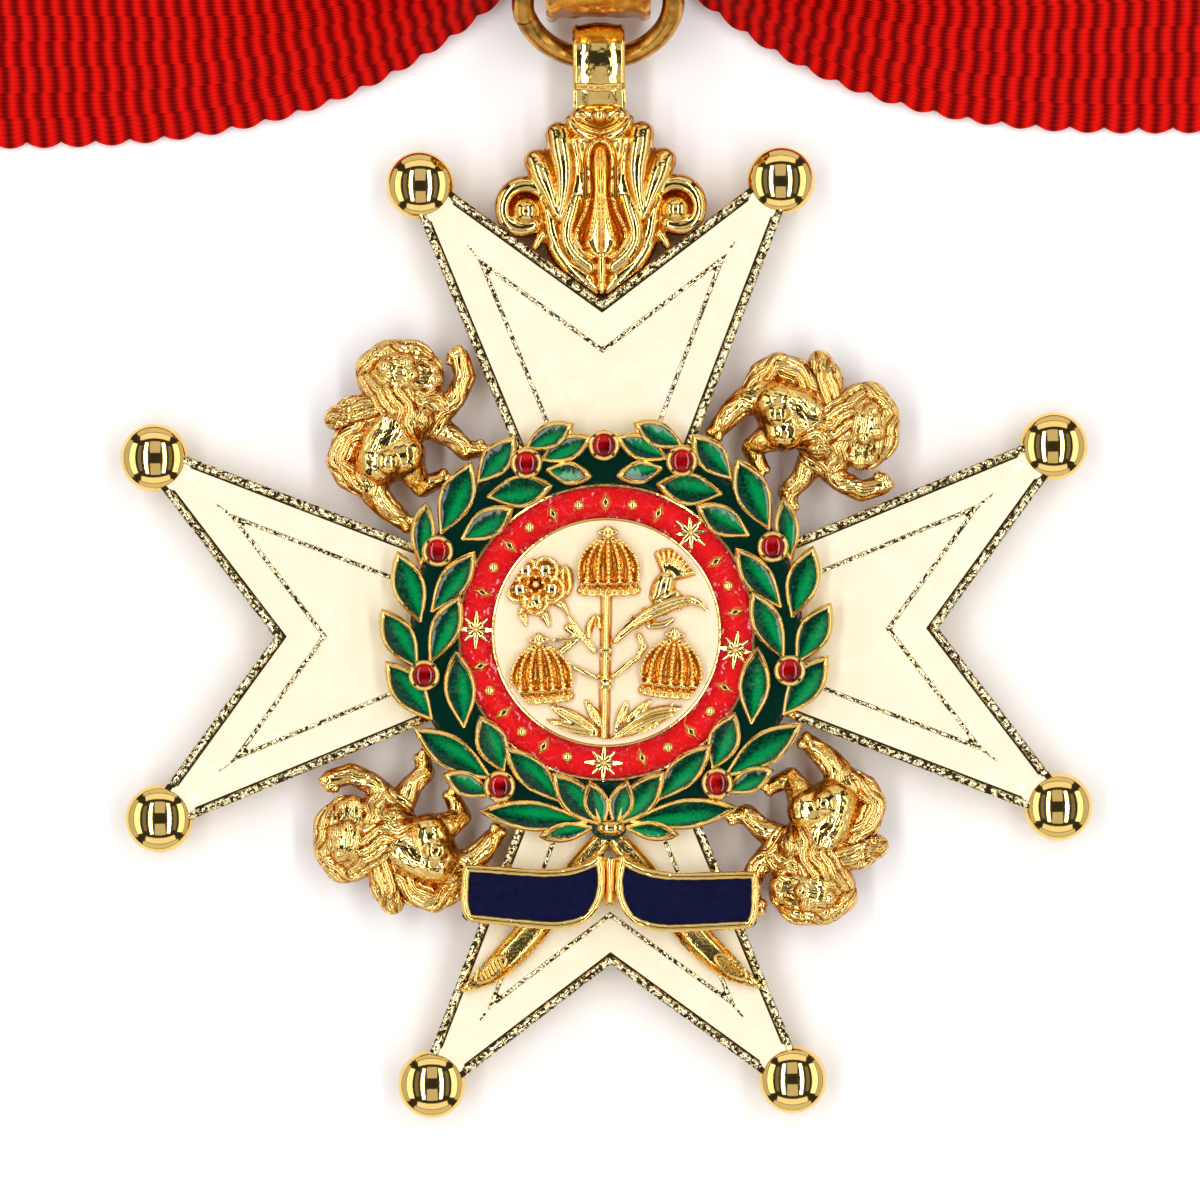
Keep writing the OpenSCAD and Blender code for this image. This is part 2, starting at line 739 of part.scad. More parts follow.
// Lobes on the axis, in the same shares
mount_spine = [
    // tongue
    [[0, 0.1, 0.09, 0.14], [0, 0.26, 0.18, 0.16], [0, 0.5, 0.14, 0.2], [0, 0.78, 0.17, 0.12]],
    // dome over the tongue
    [[-0.14, 0.88, 0.15, 0.11], [0.01, 0.9, 0.18, 0.12], [0.16, 0.885, 0.145, 0.11]]
];
// Outline of one half of the back between the lobes, in the same shares
mount_back = [
    [0, 0.02], [0.3, 0.02], [0.7, 0.05], [0.62, 0.34], [0.46, 0.44], [0.3, 0.66], [0.2, 0.88], [0, 0.95]
];
mount_half = mount_w / 2;
mount_foot = notch_reach + 2 * fit;
mount_top = mount_foot + mount_h;
mount_back_t = 0.9 * (plate_top - plate_lift);

function mount_point(lobe) = [lobe[0] * mount_half,
    notch_line(lobe[0] * mount_half) + 2 * fit + lobe[1] * mount_h];

// Plan of the back under the lobes, down to the notch's edge
module mount_plan() {
    last = len(mount_back) - 1;
    difference() {
        union() {
            polygon(concat(
                [for (p = mount_back) mount_point(p)],
                [for (k = [last - 1 : -1 : 1]) let (p = mount_point(mount_back[k])) [-p[0], p[1]]]
            ));
            for (side = [-1, 1])
                for (lobe = mount_lobes)
                    for (k = [1 : len(lobe) - 1])
                        hull()
                            for (joint = [lobe[k - 1], lobe[k]])
                                translate([side * mount_point(joint)[0], mount_point(joint)[1]])
                                    circle(r = 0.85 * joint[2] * mount_half, $fn = 12);
            translate(mount_point(mount_spine[1][1])) circle(r = 0.19 * mount_half);
        }
        offset(delta = 2 * fit) arm_outline();
    }
}

// The bail's inside leaves the ring's wire room on every side
bail_play = 0.45;
bail_in = wire_d + 2 * bail_play;
bail_out = bail_in + 2 * bail_t;
ring_low = [0, mount_top + 0.5 * bail_t + bail_play + wire_r + 1.5, finial_r];
ring_mid = ring_low + ring_r * [0, cos(ring_lean), sin(ring_lean)];

module bail() {
    translate([-bail_w / 2, 0, 0])
        rotate([90, 0, 90])
            linear_extrude(bail_w)
                difference() {
                    hull() {
                        translate([ring_low[1] + 0.1, ring_low[2]]) circle(d = bail_out, $fn = 24);
                        translate([mount_top - 0.3, ring_low[2]]) square([0.2, bail_out], center = true);
                    }
                    hull() {
                        translate([ring_low[1] + 0.1, ring_low[2]]) circle(d = bail_in, $fn = 24);
                        translate([ring_low[1] - 0.5, ring_low[2]]) circle(d = bail_in, $fn = 24);
                    }
                }
}

// Lobes are turned a little against each other, so that no two share a facet's plane
module mount_lobe(lobe, side, turn) {
    for (i = [1 : len(lobe) - 1])
        hull()
            for (joint = [lobe[i - 1], lobe[i]])
                translate([side * mount_point(joint)[0], mount_point(joint)[1],
                    finial_r + joint[3] * mount_half])
                    rotate(side * turn) sphere(r = joint[2] * mount_half, $fn = 8);
}

module leaf_mount() {
    color("gold") {
        difference() {
            union() {
                for (side = [-1, 1])
                    for (n = [0 : len(mount_lobes) - 1]) mount_lobe(mount_lobes[n], side, 4 + 7 * n);
                for (n = [0 : len(mount_spine) - 1]) mount_lobe(mount_spine[n], 1, 22.5 + 9 * n);
            }
            linear_extrude(2 * finial_d) offset(delta = 2 * fit) arm_outline();
        }
        translate([0, 0, plate_lift + fit]) linear_extrude(mount_back_t) mount_plan();
        bail();
    }
}

module jump_ring() {
    color("goldenrod")
        translate(ring_mid)
            rotate([ring_lean, 0, 0])
                rotate_extrude($fn = 64) translate([ring_r, 0]) circle(r = wire_r, $fn = 24);
}

// The keeper stands on the table and its lower edge lies just inside the ring
keeper_foot = ring_mid[1] - 0.083 * ring_d;
keeper_mid = keeper_foot + keeper_w / 2;

// Rounded section of the keeper, seen along the ribbon
module keeper_section(inset) {
    round_r = 0.18 * keeper_h;
    offset(r = round_r - inset)
        translate([keeper_foot + round_r, round_r])
            square([keeper_w - 2 * round_r, keeper_h - 2 * round_r]);
}

module along_ribbon(l) {
    translate([-l / 2, 0, 0]) rotate([90, 0, 90]) linear_extrude(l) children();
}

module ribbon_keeper() {
    color("goldenrod")
        difference() {
            union() {
                along_ribbon(keeper_l - 0.1) keeper_section(0.15);
                along_ribbon(0.62 * keeper_l) keeper_section(0);
                for (side = [-1, 1])
                    translate([side * (keeper_l / 2 - 0.35), 0, 0]) along_ribbon(0.7) keeper_section(0.02);
            }
            along_ribbon(2 * keeper_l) keeper_section(keeper_wall);
        }
}

// Ribbon: a sheet in stations along its length, laid flat in a loop with four mitred folds

bundle_mid = keeper_mid + 1;
edge_y = bundle_mid - ribbon_fall;
flat_mid = edge_y + ribbon_w / 2;
loop_rise = loop_l / 2 - loop_w;
corner_x = loop_w / 2;
fold_gap = 0.2;
fold_r = (ribbon_t + fold_gap) / 2;
layer = 2 * fold_r;
across_steps = 4 * pleats;
keeper_reach = keeper_l / 2 + 1;
// Distances of the gathered stations from the middle, as shares of the reach of the pleats
gather_stations = [0, 0.06, 0.12, 0.18, 0.25, 0.33, 0.42, 0.52, 0.64, 0.79, 1];

function fade(x, power) = pow(min(1, max(0, (gather_reach - x) / (gather_reach - keeper_reach))), power);
keeper_lift = keeper_wall + 0.1;
pleat_h = 1.35;
// The pleated stretch is drawn thicker, so that the steep sides of its pleats keep a wall
function pack(x) = 1 + 0.8 * fade(x, 2);
// Rise of the pleated sheet's middle at a distance from the middle and a share of its width
function pleat_z(x, t) = ribbon_t / 2 * pack(x) + keeper_lift * fade(x, 3)
    + pleat_h * fade(x, 1.5) * (1 - cos(360 * pleats * t));
function gathered(x) = [for (j = [0 : across_steps])
    let (t = j / across_steps,
        low = lerp(edge_y, bundle_mid - gather_w / 2, fade(x, 3)),
        high = lerp(edge_y + ribbon_w, bundle_mid + gather_w / 2, fade(x, 2)))
    [x, lerp(low, high, t), pleat_z(x, t)]];

// A straight line of points across the ribbon: middle, direction across for one width, height
function laid(mid, over, z) = [for (j = [0 : across_steps])
    let (p = mid + over * (j / across_steps - 0.5)) [p[0], p[1], z]];
// Points and facing of a fold that turns the ribbon over along a slanting line
fold_steps = 4;
function folded(mid, over, out, z, i, face) =
    let (b = 180 * i / fold_steps, p = mid + out * fold_r * sin(b))
    [laid(p, over, z + fold_r * (1 - cos(b))),
        face * [-out[0] * sin(b), -out[1] * sin(b), cos(b)]];

low_z = ribbon_t / 2;
high_z = low_z + layer;
up = [0, 0, 1];
down = [0, 0, -1];
corner_low = [corner_x, flat_mid];
corner_high = [corner_x, flat_mid + loop_rise];
slope_l = 12;
clasp_web = 3;
ribbon_end = clasp_web / 2 + fit;

// Stations of the right half, from the keeper to the clasp: points, facing and thickness where it
// isn't the ribbon's own
stations = concat(
    [for (s = gather_stations) [gathered(s * gather_reach), up, pack(s * gather_reach)]],
    [[laid([corner_x - ribbon_w / 2 - 1, flat_mid], [0, ribbon_w], low_z), up]],
    [for (i = [0 : fold_steps])
        folded(corner_low, [ribbon_w, ribbon_w], unit([1, -1]), low_z, i, 1)],
    [[laid(corner_low + [0, ribbon_w / 2 + 1], [ribbon_w, 0], high_z), down],
        [laid(corner_low + [0, ribbon_w / 2 + slope_l], [ribbon_w, 0], low_z), down],
        [laid(corner_high - [0, ribbon_w / 2 + 1], [ribbon_w, 0], low_z), down]],
    [for (i = [0 : fold_steps])
        folded(corner_high, [ribbon_w, -ribbon_w], unit([1, 1]), low_z, i, -1)],
    [[laid(corner_high - [ribbon_w / 2 + 1, 0], [0, -ribbon_w], high_z), up],
        [laid(corner_high - [ribbon_w / 2 + slope_l, 0], [0, -ribbon_w], low_z), up],
        [laid([clasp_l, corner_high[1]], [0, -ribbon_w], low_z), up],
        [laid([clasp_l / 2 + 1, corner_high[1]], [0, -ribbon_w], clasp_t / 2), up],
        [laid([ribbon_end, corner_high[1]], [0, -ribbon_w], clasp_t / 2), up]]
);

function flipped(p, side) = [side * p[0], p[1], p[2]];
// Closed ring of points round the sheet at a station
function sheet_ring(k) =
    let (side = k < 0 ? -1 : 1,
        s = stations[abs(k)],
        n = flipped(s[1], side) * ribbon_t / 2 * (is_undef(s[2]) ? 1 : s[2]),
        line = [for (p = s[0]) flipped(p, side)])
    concat([for (p = line) p + n], [for (j = [across_steps : -1 : 0]) line[j] - n]);

module ribbon() {
    last = len(stations) - 1;
    rings = [for (k = [-last : last]) sheet_ring(k)];
    m = len(rings[0]);
    points = [for (r = rings) for (p = r) p];
    faces = concat(
        [[for (j = [m - 1 : -1 : 0]) j]],
        [for (k = [0 : len(rings) - 2]) for (j = [0 : m - 1])
            let (a = k * m + j, b = k * m + (j + 1) % m) [a, b, b + m]],
        [for (k = [0 : len(rings) - 2]) for (j = [0 : m - 1])
            let (a = k * m + j, b = k * m + (j + 1) % m) [a, b + m, a + m]],
        [[for (j = [0 : m - 1]) (len(rings) - 1) * m + j]]
    );
    color("crimson") polyhedron(points, faces, convexity = 8);
}

// Flat box clasp that takes both ends of the ribbon
module clasp() {
    slot_t = ribbon_t + 4 * fit;
    color("goldenrod")
        translate([0, corner_high[1], 0])
            difference() {
                translate([-clasp_l / 2, -ribbon_w / 2 - 1, 0]) cube([clasp_l, ribbon_w + 2, clasp_t]);
                for (side = [-1, 1])
                    translate([side * (clasp_web / 2 + clasp_l / 2), 0, clasp_t / 2])
                        cube([clasp_l, ribbon_w + 4 * fit, slot_t], center = true);
            }
}

// Placing: the origin is under the middle of everything that is laid out
low_y = -(arm_reach + finial_r);
high_y = corner_high[1] + ribbon_w / 2 + 1;
module placed() {
    translate([0, -(low_y + high_y) / 2, 0]) children();
}

placed() cross_frame();
placed() enamel_band(arm_turns[0]);  // enamel_band_north
placed() enamel_band(arm_turns[1]);  // enamel_band_east
placed() enamel_band(arm_turns[2]);  // enamel_band_south
placed() enamel_band(arm_turns[3]);  // enamel_band_west
placed() enamel_panel(arm_turns[0]);  // enamel_panel_north
placed() enamel_panel(arm_turns[1]);  // enamel_panel_east
placed() enamel_panel(arm_turns[2]);  // enamel_panel_south
placed() enamel_panel(arm_turns[3]);  // enamel_panel_west
placed() lion(45);  // lion_nw
placed() lion(-45);  // lion_ne
placed() lion(-135);  // lion_se
placed() lion(135);  // lion_sw
placed() wreath();
placed() wreath_enamel();
placed() band_enamel();
placed() centre_enamel();
placed() berry(1);  // berry_1
placed() berry(2);  // berry_2
placed() berry(3);  // berry_3
placed() berry(4);  // berry_4
placed() berry(5);  // berry_5
placed() berry(6);  // berry_6
placed() berry(7);  // berry_7
placed() berry(8);  // berry_8
placed() berry(9);  // berry_9
placed() sceptre();
placed() crown(crown_top_foot);  // crown_top
placed() crown(crown_left_foot);  // crown_left
placed() crown(crown_right_foot);  // crown_right
placed() rose_spray();
placed() thistle_spray();
placed() leaf_spray_left();
placed() leaf_spray_right();
placed() tie_ribbon(-1);  // tie_ribbon_left
placed() tie_ribbon(1);  // tie_ribbon_right
placed() scroll_frame();
placed() scroll_enamel(-1);  // scroll_enamel_left
placed() scroll_enamel(1);  // scroll_enamel_right
placed() leaf_mount();
placed() jump_ring();
placed() ribbon_keeper();
placed() ribbon();
placed() clasp();
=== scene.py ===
# %% [markdown]
# A neck badge in gold and enamel.
#
# The real thing is a white enamelled cross with gold balls on its points, four cast lions
# between its arms, a laurel wreath with red berries round a little scene in relief, a blue
# scroll, a cast leaf with a bail, a ring, and a ribbon that runs through a gold sleeve.
# The solids were made elsewhere and are loaded here as a fixed frame. Everything below
# dresses that frame: it gives each solid its finish, and puts finer pieces where a plain
# solid isn't enough. All new pieces are drawn in millimetres from the middle of the cross,
# because small jewellery is easier to think about in millimetres.

# %% Load the frame
import math
import bmesh
import bpy
import numpy as np
from mathutils import Matrix, Vector, noise


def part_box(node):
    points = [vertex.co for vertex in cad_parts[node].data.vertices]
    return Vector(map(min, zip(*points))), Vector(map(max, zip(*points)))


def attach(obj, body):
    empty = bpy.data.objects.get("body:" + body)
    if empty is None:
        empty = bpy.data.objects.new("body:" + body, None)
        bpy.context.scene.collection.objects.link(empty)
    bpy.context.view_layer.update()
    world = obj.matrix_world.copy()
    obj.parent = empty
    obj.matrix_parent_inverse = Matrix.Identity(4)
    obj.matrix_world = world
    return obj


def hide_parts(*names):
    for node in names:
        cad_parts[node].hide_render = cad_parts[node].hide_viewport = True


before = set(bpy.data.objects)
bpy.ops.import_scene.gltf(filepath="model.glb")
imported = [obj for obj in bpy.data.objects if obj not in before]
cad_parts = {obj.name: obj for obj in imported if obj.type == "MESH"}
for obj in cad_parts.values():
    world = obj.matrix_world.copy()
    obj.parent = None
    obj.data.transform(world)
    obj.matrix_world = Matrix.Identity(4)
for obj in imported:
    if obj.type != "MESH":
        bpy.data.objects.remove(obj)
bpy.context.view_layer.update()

cross_low, cross_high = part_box("cross_frame")
BADGE_Y = (cross_low.y + cross_high.y) / 2
MM = 0.001
PLACE = Matrix.Translation((0, BADGE_Y, 0)) @ Matrix.Scale(MM, 4)
print("middle of the cross at y =", round(BADGE_Y / MM, 2), "mm")

# %% [markdown]
# The sizes that the frame was made to. The new pieces use the same ones, so they seat on
# the solids without any fitting: heights are above the table, and radii are from the
# middle of the cross.

# %% Sizes of the badge in millimetres
FINIAL_R = 2.3  # radius of the balls
FINIAL = (12.2, 30.4)  # middle of a ball: aside from the arm's middle line, and out along it
NOTCH = 22.4  # where the fork of an arm begins
ARM_ROOT = 1.05  # half width to which the edges of an arm narrow at the middle of the cross
ARM_TIP = 0.88  # half width of an arm's point at the middle of its ball
PLATE_TOP = 3.3
STEM_R = 12.6  # circle of the berries
BAND_R = 9.95  # outside of the red band
CENTRE_R = 7.6  # outside of the cream centre
MEDAL_Z = 3.36  # foot of the wreath
BASE_TOP = 4.06  # gold ground of the wreath
FIELD_TOP = 4.54  # enamel of the centre
LEAF_W = 2.1
ARM_TURNS = {"north": 0, "east": -90, "south": 180, "west": 90}
LION_TURNS = {"nw": 45, "ne": -45, "se": -135, "sw": 135}

# %% [markdown]
# Small tools. Each one makes a small bmesh from one operator's shape, and `join` puts
# it into the piece that it belongs to. A tube is a disc that is pulled from point to
# point: every pull is one extrude, so the wall closes by itself.

# %% Helpers that shape a part
SAME_PLACE = 1e-4


def join(piece, part):
    """Moves a finished part into the piece that it belongs to."""
    scratch = bpy.data.meshes.new("scratch")
    part.to_mesh(scratch)
    part.free()
    piece.from_mesh(scratch)
    bpy.data.meshes.remove(scratch)


def ring_frame(path, i, radius, flat, closed):
    """Matrix that carries a unit disc to point i of a path, square to it."""
    last = len(path) - 1
    before = path[i - 1] if i > 0 or closed else path[i]
    after = path[(i + 1) % len(path)] if i < last or closed else path[i]
    ahead = (after - before).normalized()
    up = Vector((0, 0, 1)) if abs(ahead.z) < 0.9 else Vector((0, 1, 0))
    side = ahead.cross(up).normalized()
    up = side.cross(ahead).normalized()
    m = Matrix((side * radius, up * radius * flat, ahead * radius)).transposed().to_4x4()
    m.translation = path[i]
    return m


def tube(path, radii, sides=8, flat=1.0, closed=False):
    """A wire along a path. Radii is one number or one for each point."""
    path = [Vector(p) for p in path]
    if not hasattr(radii, "__len__"):
        radii = [radii] * len(path)
    part = bmesh.new()
    bmesh.ops.create_circle(part, cap_ends=True, segments=sides, radius=1)
    face = next(iter(part.faces))
    last = ring_frame(path, 0, radii[0], flat, closed)
    bmesh.ops.transform(part, matrix=last, verts=part.verts)
    for i in range(1, len(path)):
        pulled = bmesh.ops.extrude_face_region(part, geom=[face])["geom"]
        face = next(g for g in pulled if isinstance(g, bmesh.types.BMFace))
        here = ring_frame(path, i, radii[i], flat, closed)
        bmesh.ops.transform(part, matrix=here @ last.inverted(), verts=face.verts)
        last = here
    if closed:
        caps = [f for f in part.faces if len(f.verts) == sides and sides != 4]
        bmesh.ops.delete(part, geom=caps, context="FACES_ONLY")
        rims = [e for e in part.edges if e.is_boundary]
        bmesh.ops.bridge_loops(part, edges=rims)
    bmesh.ops.recalc_face_normals(part, faces=part.faces)
    return part


def closed_up(part):
    """Merges the points that lie in one place and turns all faces outwards."""
    bmesh.ops.remove_doubles(part, verts=part.verts, dist=SAME_PLACE)
    bmesh.ops.recalc_face_normals(part, faces=part.faces)
    return part


def pulled_out(part):
    """Extrudes all of a sheet and gives back the points of its new side."""
    made = bmesh.ops.extrude_face_region(part, geom=part.faces[:])["geom"]
    return [g for g in made if isinstance(g, bmesh.types.BMVert)]


def thickened(part, thickness):
    """Makes a closed solid of a sheet."""
    bmesh.ops.solidify(part, geom=part.faces[:], thickness=thickness)
    bmesh.ops.recalc_face_normals(part, faces=part.faces)
    return part


def patch(nu, nv, place, depth=0.0):
    """A grid laid over a surface: place(u, v) gives each point, with u and v from 0 to 1.
    With a depth it is pulled down into a closed solid."""
    part = bmesh.new()
    bmesh.ops.create_grid(part, x_segments=nu, y_segments=nv, size=0.5)
    for v in part.verts:
        v.co = Vector(place(v.co.x + 0.5, v.co.y + 0.5))
    if depth:
        bmesh.ops.translate(part, vec=(0, 0, -depth), verts=pulled_out(part))
    return closed_up(part)


def turned(profile, steps=64, ring=True):
    """A shape turned on a lathe from a row of (radius, height) points."""
    part = bmesh.new()
    corners = [part.verts.new((r, 0, z)) for r, z in profile]
    pairs = list(zip(corners, corners[1:]))
    if ring:
        pairs.append((corners[-1], corners[0]))
    edges = [part.edges.new(pair) for pair in pairs]
    bmesh.ops.spin(part, geom=corners + edges, axis=(0, 0, 1), cent=(0, 0, 0),
                   angle=2 * math.pi, steps=steps, use_merge=True)
    return closed_up(part)


def ring_of(radius, section, steps=120):
    """A ring turned from its section, whose points are measured from the ring's radius."""
    return turned([(radius + r, z) for r, z in section], steps)


def ball(centre, radius, around=16, high=None, flat=1.0):
    """A ball, or a button when it is flattened."""
    part = bmesh.new()
    size = Matrix.Diagonal((1, 1, flat, 1))
    bmesh.ops.create_uvsphere(part, u_segments=around, v_segments=high or around // 2,
                              radius=radius, matrix=Matrix.Translation(centre) @ size)
    return part


def pearl(centre, radius):
    """A small bead with few faces, for rows of many."""
    part = bmesh.new()
    bmesh.ops.create_icosphere(part, subdivisions=2, radius=radius,
                               matrix=Matrix.Translation(centre))
    return part


def set_tone_and_painted_light(part, rule):
    """Stores an enamel's tone at each point, which on some pieces is painted light: rule(x, y) gives the
    number.
    """
    tone_and_painted_light = part.verts.layers.float.new("tone_and_painted_light")
    for corner in part.verts:
        corner[tone_and_painted_light] = rule(corner.co.x, corner.co.y)
    return part


def turn(part, degrees):
    """Turns a part about the middle of the cross."""
    bmesh.ops.rotate(part, cent=(0, 0, 0), matrix=Matrix.Rotation(math.radians(degrees), 3, "Z"),
                     verts=part.verts)
    return part


def polar(angle, r, z=0.0):
    """A point of the wreath: the angle runs from the foot up the left side."""
    a = math.radians(angle)
    return Vector((-r * math.sin(a), -r * math.cos(a), z))


def bump(x, middle, width):
    """1 at the middle, and soft slopes on both sides."""
    return math.exp(-((x - middle) / width) ** 2)


def smooth_path(points, rounds=2, closed=False):
    """Rounds a path's corners by cutting them, again and again."""
    for _ in range(rounds):
        ends = zip(points, points[1:] + points[:1] if closed else points[1:])
        cut = [p for a, b in ends for p in (a.lerp(b, 0.25), a.lerp(b, 0.75))]
        points = cut if closed else [points[0]] + cut + [points[-1]]
    return points


def along(points, step):
    """Points at even distances along a path, its ends included."""
    lengths = [0.0]
    for a, b in zip(points, points[1:]):
        lengths.append(lengths[-1] + (b - a).length)
    count = max(2, int(lengths[-1] / step) + 1)
    found, k = [], 0
    for i in range(count):
        s = lengths[-1] * i / (count - 1)
        while k < len(points) - 2 and lengths[k + 1] < s:
            k += 1
        span = max(lengths[k + 1] - lengths[k], 1e-9)
        found.append(points[k].lerp(points[k + 1], (s - lengths[k]) / span))
    return found


# %% [markdown]
# A finished piece is scaled from millimetres into the frame, gets its material, and is
# told which body it rides on. This badge has no joints, so that is always the same one.
# Where a piece stands for one of the solids, that solid is hidden.

# %% Helper that finishes a piece
SHARP = math.radians(50)


def in_scene(name, data):
    """Makes an object of a mesh, a light or a camera, and puts it into the scene."""
    obj = bpy.data.objects.new(name, data)
    bpy.context.scene.collection.objects.link(obj)
    return obj


def finished(name, piece, material, stands_for=()):
    """Turns a bmesh in millimetres into an object of the badge."""
    bmesh.ops.transform(piece, matrix=PLACE, verts=piece.verts)
    mesh = bpy.data.meshes.new(name)
    piece.to_mesh(mesh)
    piece.free()
    return dressed(name, mesh, material, stands_for)


def dressed(name, mesh, material, stands_for=()):
    """Makes the object of a mesh that is already in place."""
    mesh.materials.clear()
    mesh.materials.append(material)
    mesh.polygons.foreach_set("use_smooth", [True] * len(mesh.polygons))
    mesh.set_sharp_from_angle(angle=SHARP)
    obj = in_scene(name, mesh)
    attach(obj, "root")
    if stands_for:
        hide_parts(*stands_for)
    triangles = sum(len(p.vertices) - 2 for p in mesh.polygons)
    print(f"{name}: {triangles} triangles")
    return obj


# %% [markdown]
# Shader groups. A group is a small machine that several finishes share, with knobs for
# what differs. "gilding" paints amber shade into the hollows and onto the steep sides of
# a cast surface, adds random amber patches, and roughens it with fine grain. "glaze" is
# glassy enamel over engraved metal: it is bright where its stored tone is high and nearly
# black where it is low, and on some pieces that tone is painted light.

# %% Shader groups
def new_group(name, inputs, outputs):
    """An empty node group with named sockets, and its two end nodes."""
    group = bpy.data.node_groups.new(name, "ShaderNodeTree")
    for label, kind, value in inputs:
        socket = group.interface.new_socket(label, in_out="INPUT", socket_type=kind)
        if value is not None:
            socket.default_value = value
    for label, kind in outputs:
        group.interface.new_socket(label, in_out="OUTPUT", socket_type=kind)
    ends = group.nodes.new("NodeGroupInput"), group.nodes.new("NodeGroupOutput")
    return group, *ends


def set_knobs(node, knobs):
    """Sets inputs of a node by their names."""
    for label, value in knobs.items():
        node.inputs[label].default_value = value


def feed(tree, socket, value):
    """Gives an input a number or colour, or links it to another node's output."""
    if isinstance(value, bpy.types.NodeSocket):
        tree.links.new(value, socket)
    else:
        socket.default_value = value


def math_node(tree, operation, *values):
    """A maths node whose inputs are numbers or sockets."""
    node = tree.nodes.new("ShaderNodeMath")
    node.operation = operation
    for socket, value in zip(node.inputs, values):
        feed(tree, socket, value)
    return node.outputs[0]


def noise_node(tree, vector, scale, detail=3.0, roughness=0.55):
    """Fractal noise on the given coordinates."""
    node = tree.nodes.new("ShaderNodeTexNoise")
    set_knobs(node, {"Detail": detail, "Roughness": roughness})
    tree.links.new(vector, node.inputs["Vector"])
    feed(tree, node.inputs["Scale"], scale)
    return node.outputs["Fac"]


def mixed(tree, share, first, second):
    """A colour between two, by a share from 0 to 1."""
    node = tree.nodes.new("ShaderNodeMix")
    node.data_type = "RGBA"
    tree.links.new(share, node.inputs["Factor"])
    feed(tree, node.inputs[6], first)
    feed(tree, node.inputs[7], second)
    return node.outputs[2]


def spread(tree, value, low, high, to_low=0.0, to_high=1.0):
    """Stretches a value from one range to another and holds it at the ends."""
    node = tree.nodes.new("ShaderNodeMapRange")
    tree.links.new(value, node.inputs["Value"])
    set_knobs(node, {"From Min": low, "From Max": high, "To Min": to_low, "To Max": to_high})
    return node.outputs["Result"]


COLOR, FLOAT, VECTOR = "NodeSocketColor", "NodeSocketFloat", "NodeSocketVector"


def build_gilding():
    """Gold with painted amber shade in its hollows, with grain at a chosen size."""
    group, start, end = new_group(
        "gilding",
        [("Place", VECTOR, None), ("Gold", COLOR, (0.9, 0.62, 0.2, 1)),
         ("Shade and patch colour", COLOR, (0.5, 0.16, 0.01, 1)), ("Painted shade", FLOAT, 0.0),
         ("Grain size", FLOAT, 4000.0), ("Patchiness", FLOAT, 0.3)],
        [("Color", COLOR), ("Painted shade", FLOAT), ("Height", FLOAT)])
    grain = noise_node(group, start.outputs["Place"], start.outputs["Grain size"])
    broad = spread(group, noise_node(group, start.outputs["Place"], 700.0, 2.0), 0.45, 0.7)
    patchy = math_node(group, "MULTIPLY", broad, start.outputs["Patchiness"])
    speckled = math_node(group, "MULTIPLY_ADD", grain, 0.5, start.outputs["Painted shade"])
    hollow = spread(group, speckled, 0.35, 0.95)
    share = math_node(group, "MAXIMUM", hollow, patchy)
    colour = mixed(group, share, start.outputs["Gold"], start.outputs["Shade and patch colour"])
    group.links.new(colour, end.inputs["Color"])
    group.links.new(hollow, end.inputs["Painted shade"])
    group.links.new(grain, end.inputs["Height"])
    return group


def build_glaze():
    """Clear coloured enamel over a foil: bright where its stored tone is high, and on some pieces that tone
    is painted light.
    """
    group, start, end = new_group(
        "glaze",
        [("Place", VECTOR, None), ("Deep", COLOR, (0, 0.05, 0.03, 1)),
         ("Bright", COLOR, (0, 0.3, 0.1, 1)), ("Tone and painted light", FLOAT, 0.5), ("Foil size", FLOAT, 5000.0)],
        [("Color", COLOR), ("Height", FLOAT)])
    foil = noise_node(group, start.outputs["Place"], start.outputs["Foil size"], 4.0, 0.7)
    cloud = noise_node(group, start.outputs["Place"], 900.0, 2.0)
    sparks = spread(group, foil, 0.4, 0.65)
    shimmer = math_node(group, "MULTIPLY_ADD", sparks, 0.5, start.outputs["Tone and painted light"])
    shade = math_node(group, "MULTIPLY_ADD", spread(group, cloud, 0.3, 0.7), 0.2, shimmer)
    share = spread(group, shade, 0.3, 1.35)
    colour = mixed(group, share, start.outputs["Deep"], start.outputs["Bright"])
    group.links.new(colour, end.inputs["Color"])
    group.links.new(cloud, end.inputs["Height"])
    return group


GILDING = build_gilding()
GLAZE = build_glaze()
print("shader groups:", GILDING.name, GLAZE.name)


# %% [markdown]
# Materials. Each finish is the Principled shader with a few numbers of its own, fed by
# one of the groups. Polished gold is nearly a mirror, cast gold gets painted amber shade
# in its hollows, and the old brass of the ring is duller. Coordinates are the object's own,
# in metres, which is why the noise scales are in the thousands.

# %% Gold finishes
def new_material(name):
    """A material with its tree, its shader and the object's own coordinates."""
    material = bpy.data.materials.new(name)
    material.use_nodes = True
    tree = material.node_tree
    place = tree.nodes.new("ShaderNodeTexCoord").outputs["Object"]
    return material, tree, tree.nodes["Principled BSDF"], place


def attribute(tree, name):
    """A value that was stored at each point of the mesh."""
    node = tree.nodes.new("ShaderNodeAttribute")
    node.attribute_name = name
    return node


def grouped(tree, shared, place, knobs):
    """Puts a shader group into a material and sets its knobs."""
    group = tree.nodes.new("ShaderNodeGroup")
    group.node_tree = shared
    tree.links.new(place, group.inputs["Place"])
    set_knobs(group, knobs)
    return group


def bumped(tree, bsdf, height, strength, distance, coat=False):
    """Lets a height tilt the surface."""
    node = tree.nodes.new("ShaderNodeBump")
    set_knobs(node, {"Strength": strength, "Distance": distance})
    tree.links.new(height, node.inputs["Height"])
    tree.links.new(node.outputs["Normal"], bsdf.inputs["Normal"])
    if coat:
        tree.links.new(node.outputs["Normal"], bsdf.inputs["Coat Normal"])


STRAND = 0.34  # width of a strand of hair in millimetres
STRAND_DRIFT = 6.0
STRAND_SHADE = 0.5
STRAND_RISE = 6.0
SWELL_RISE = 9.0


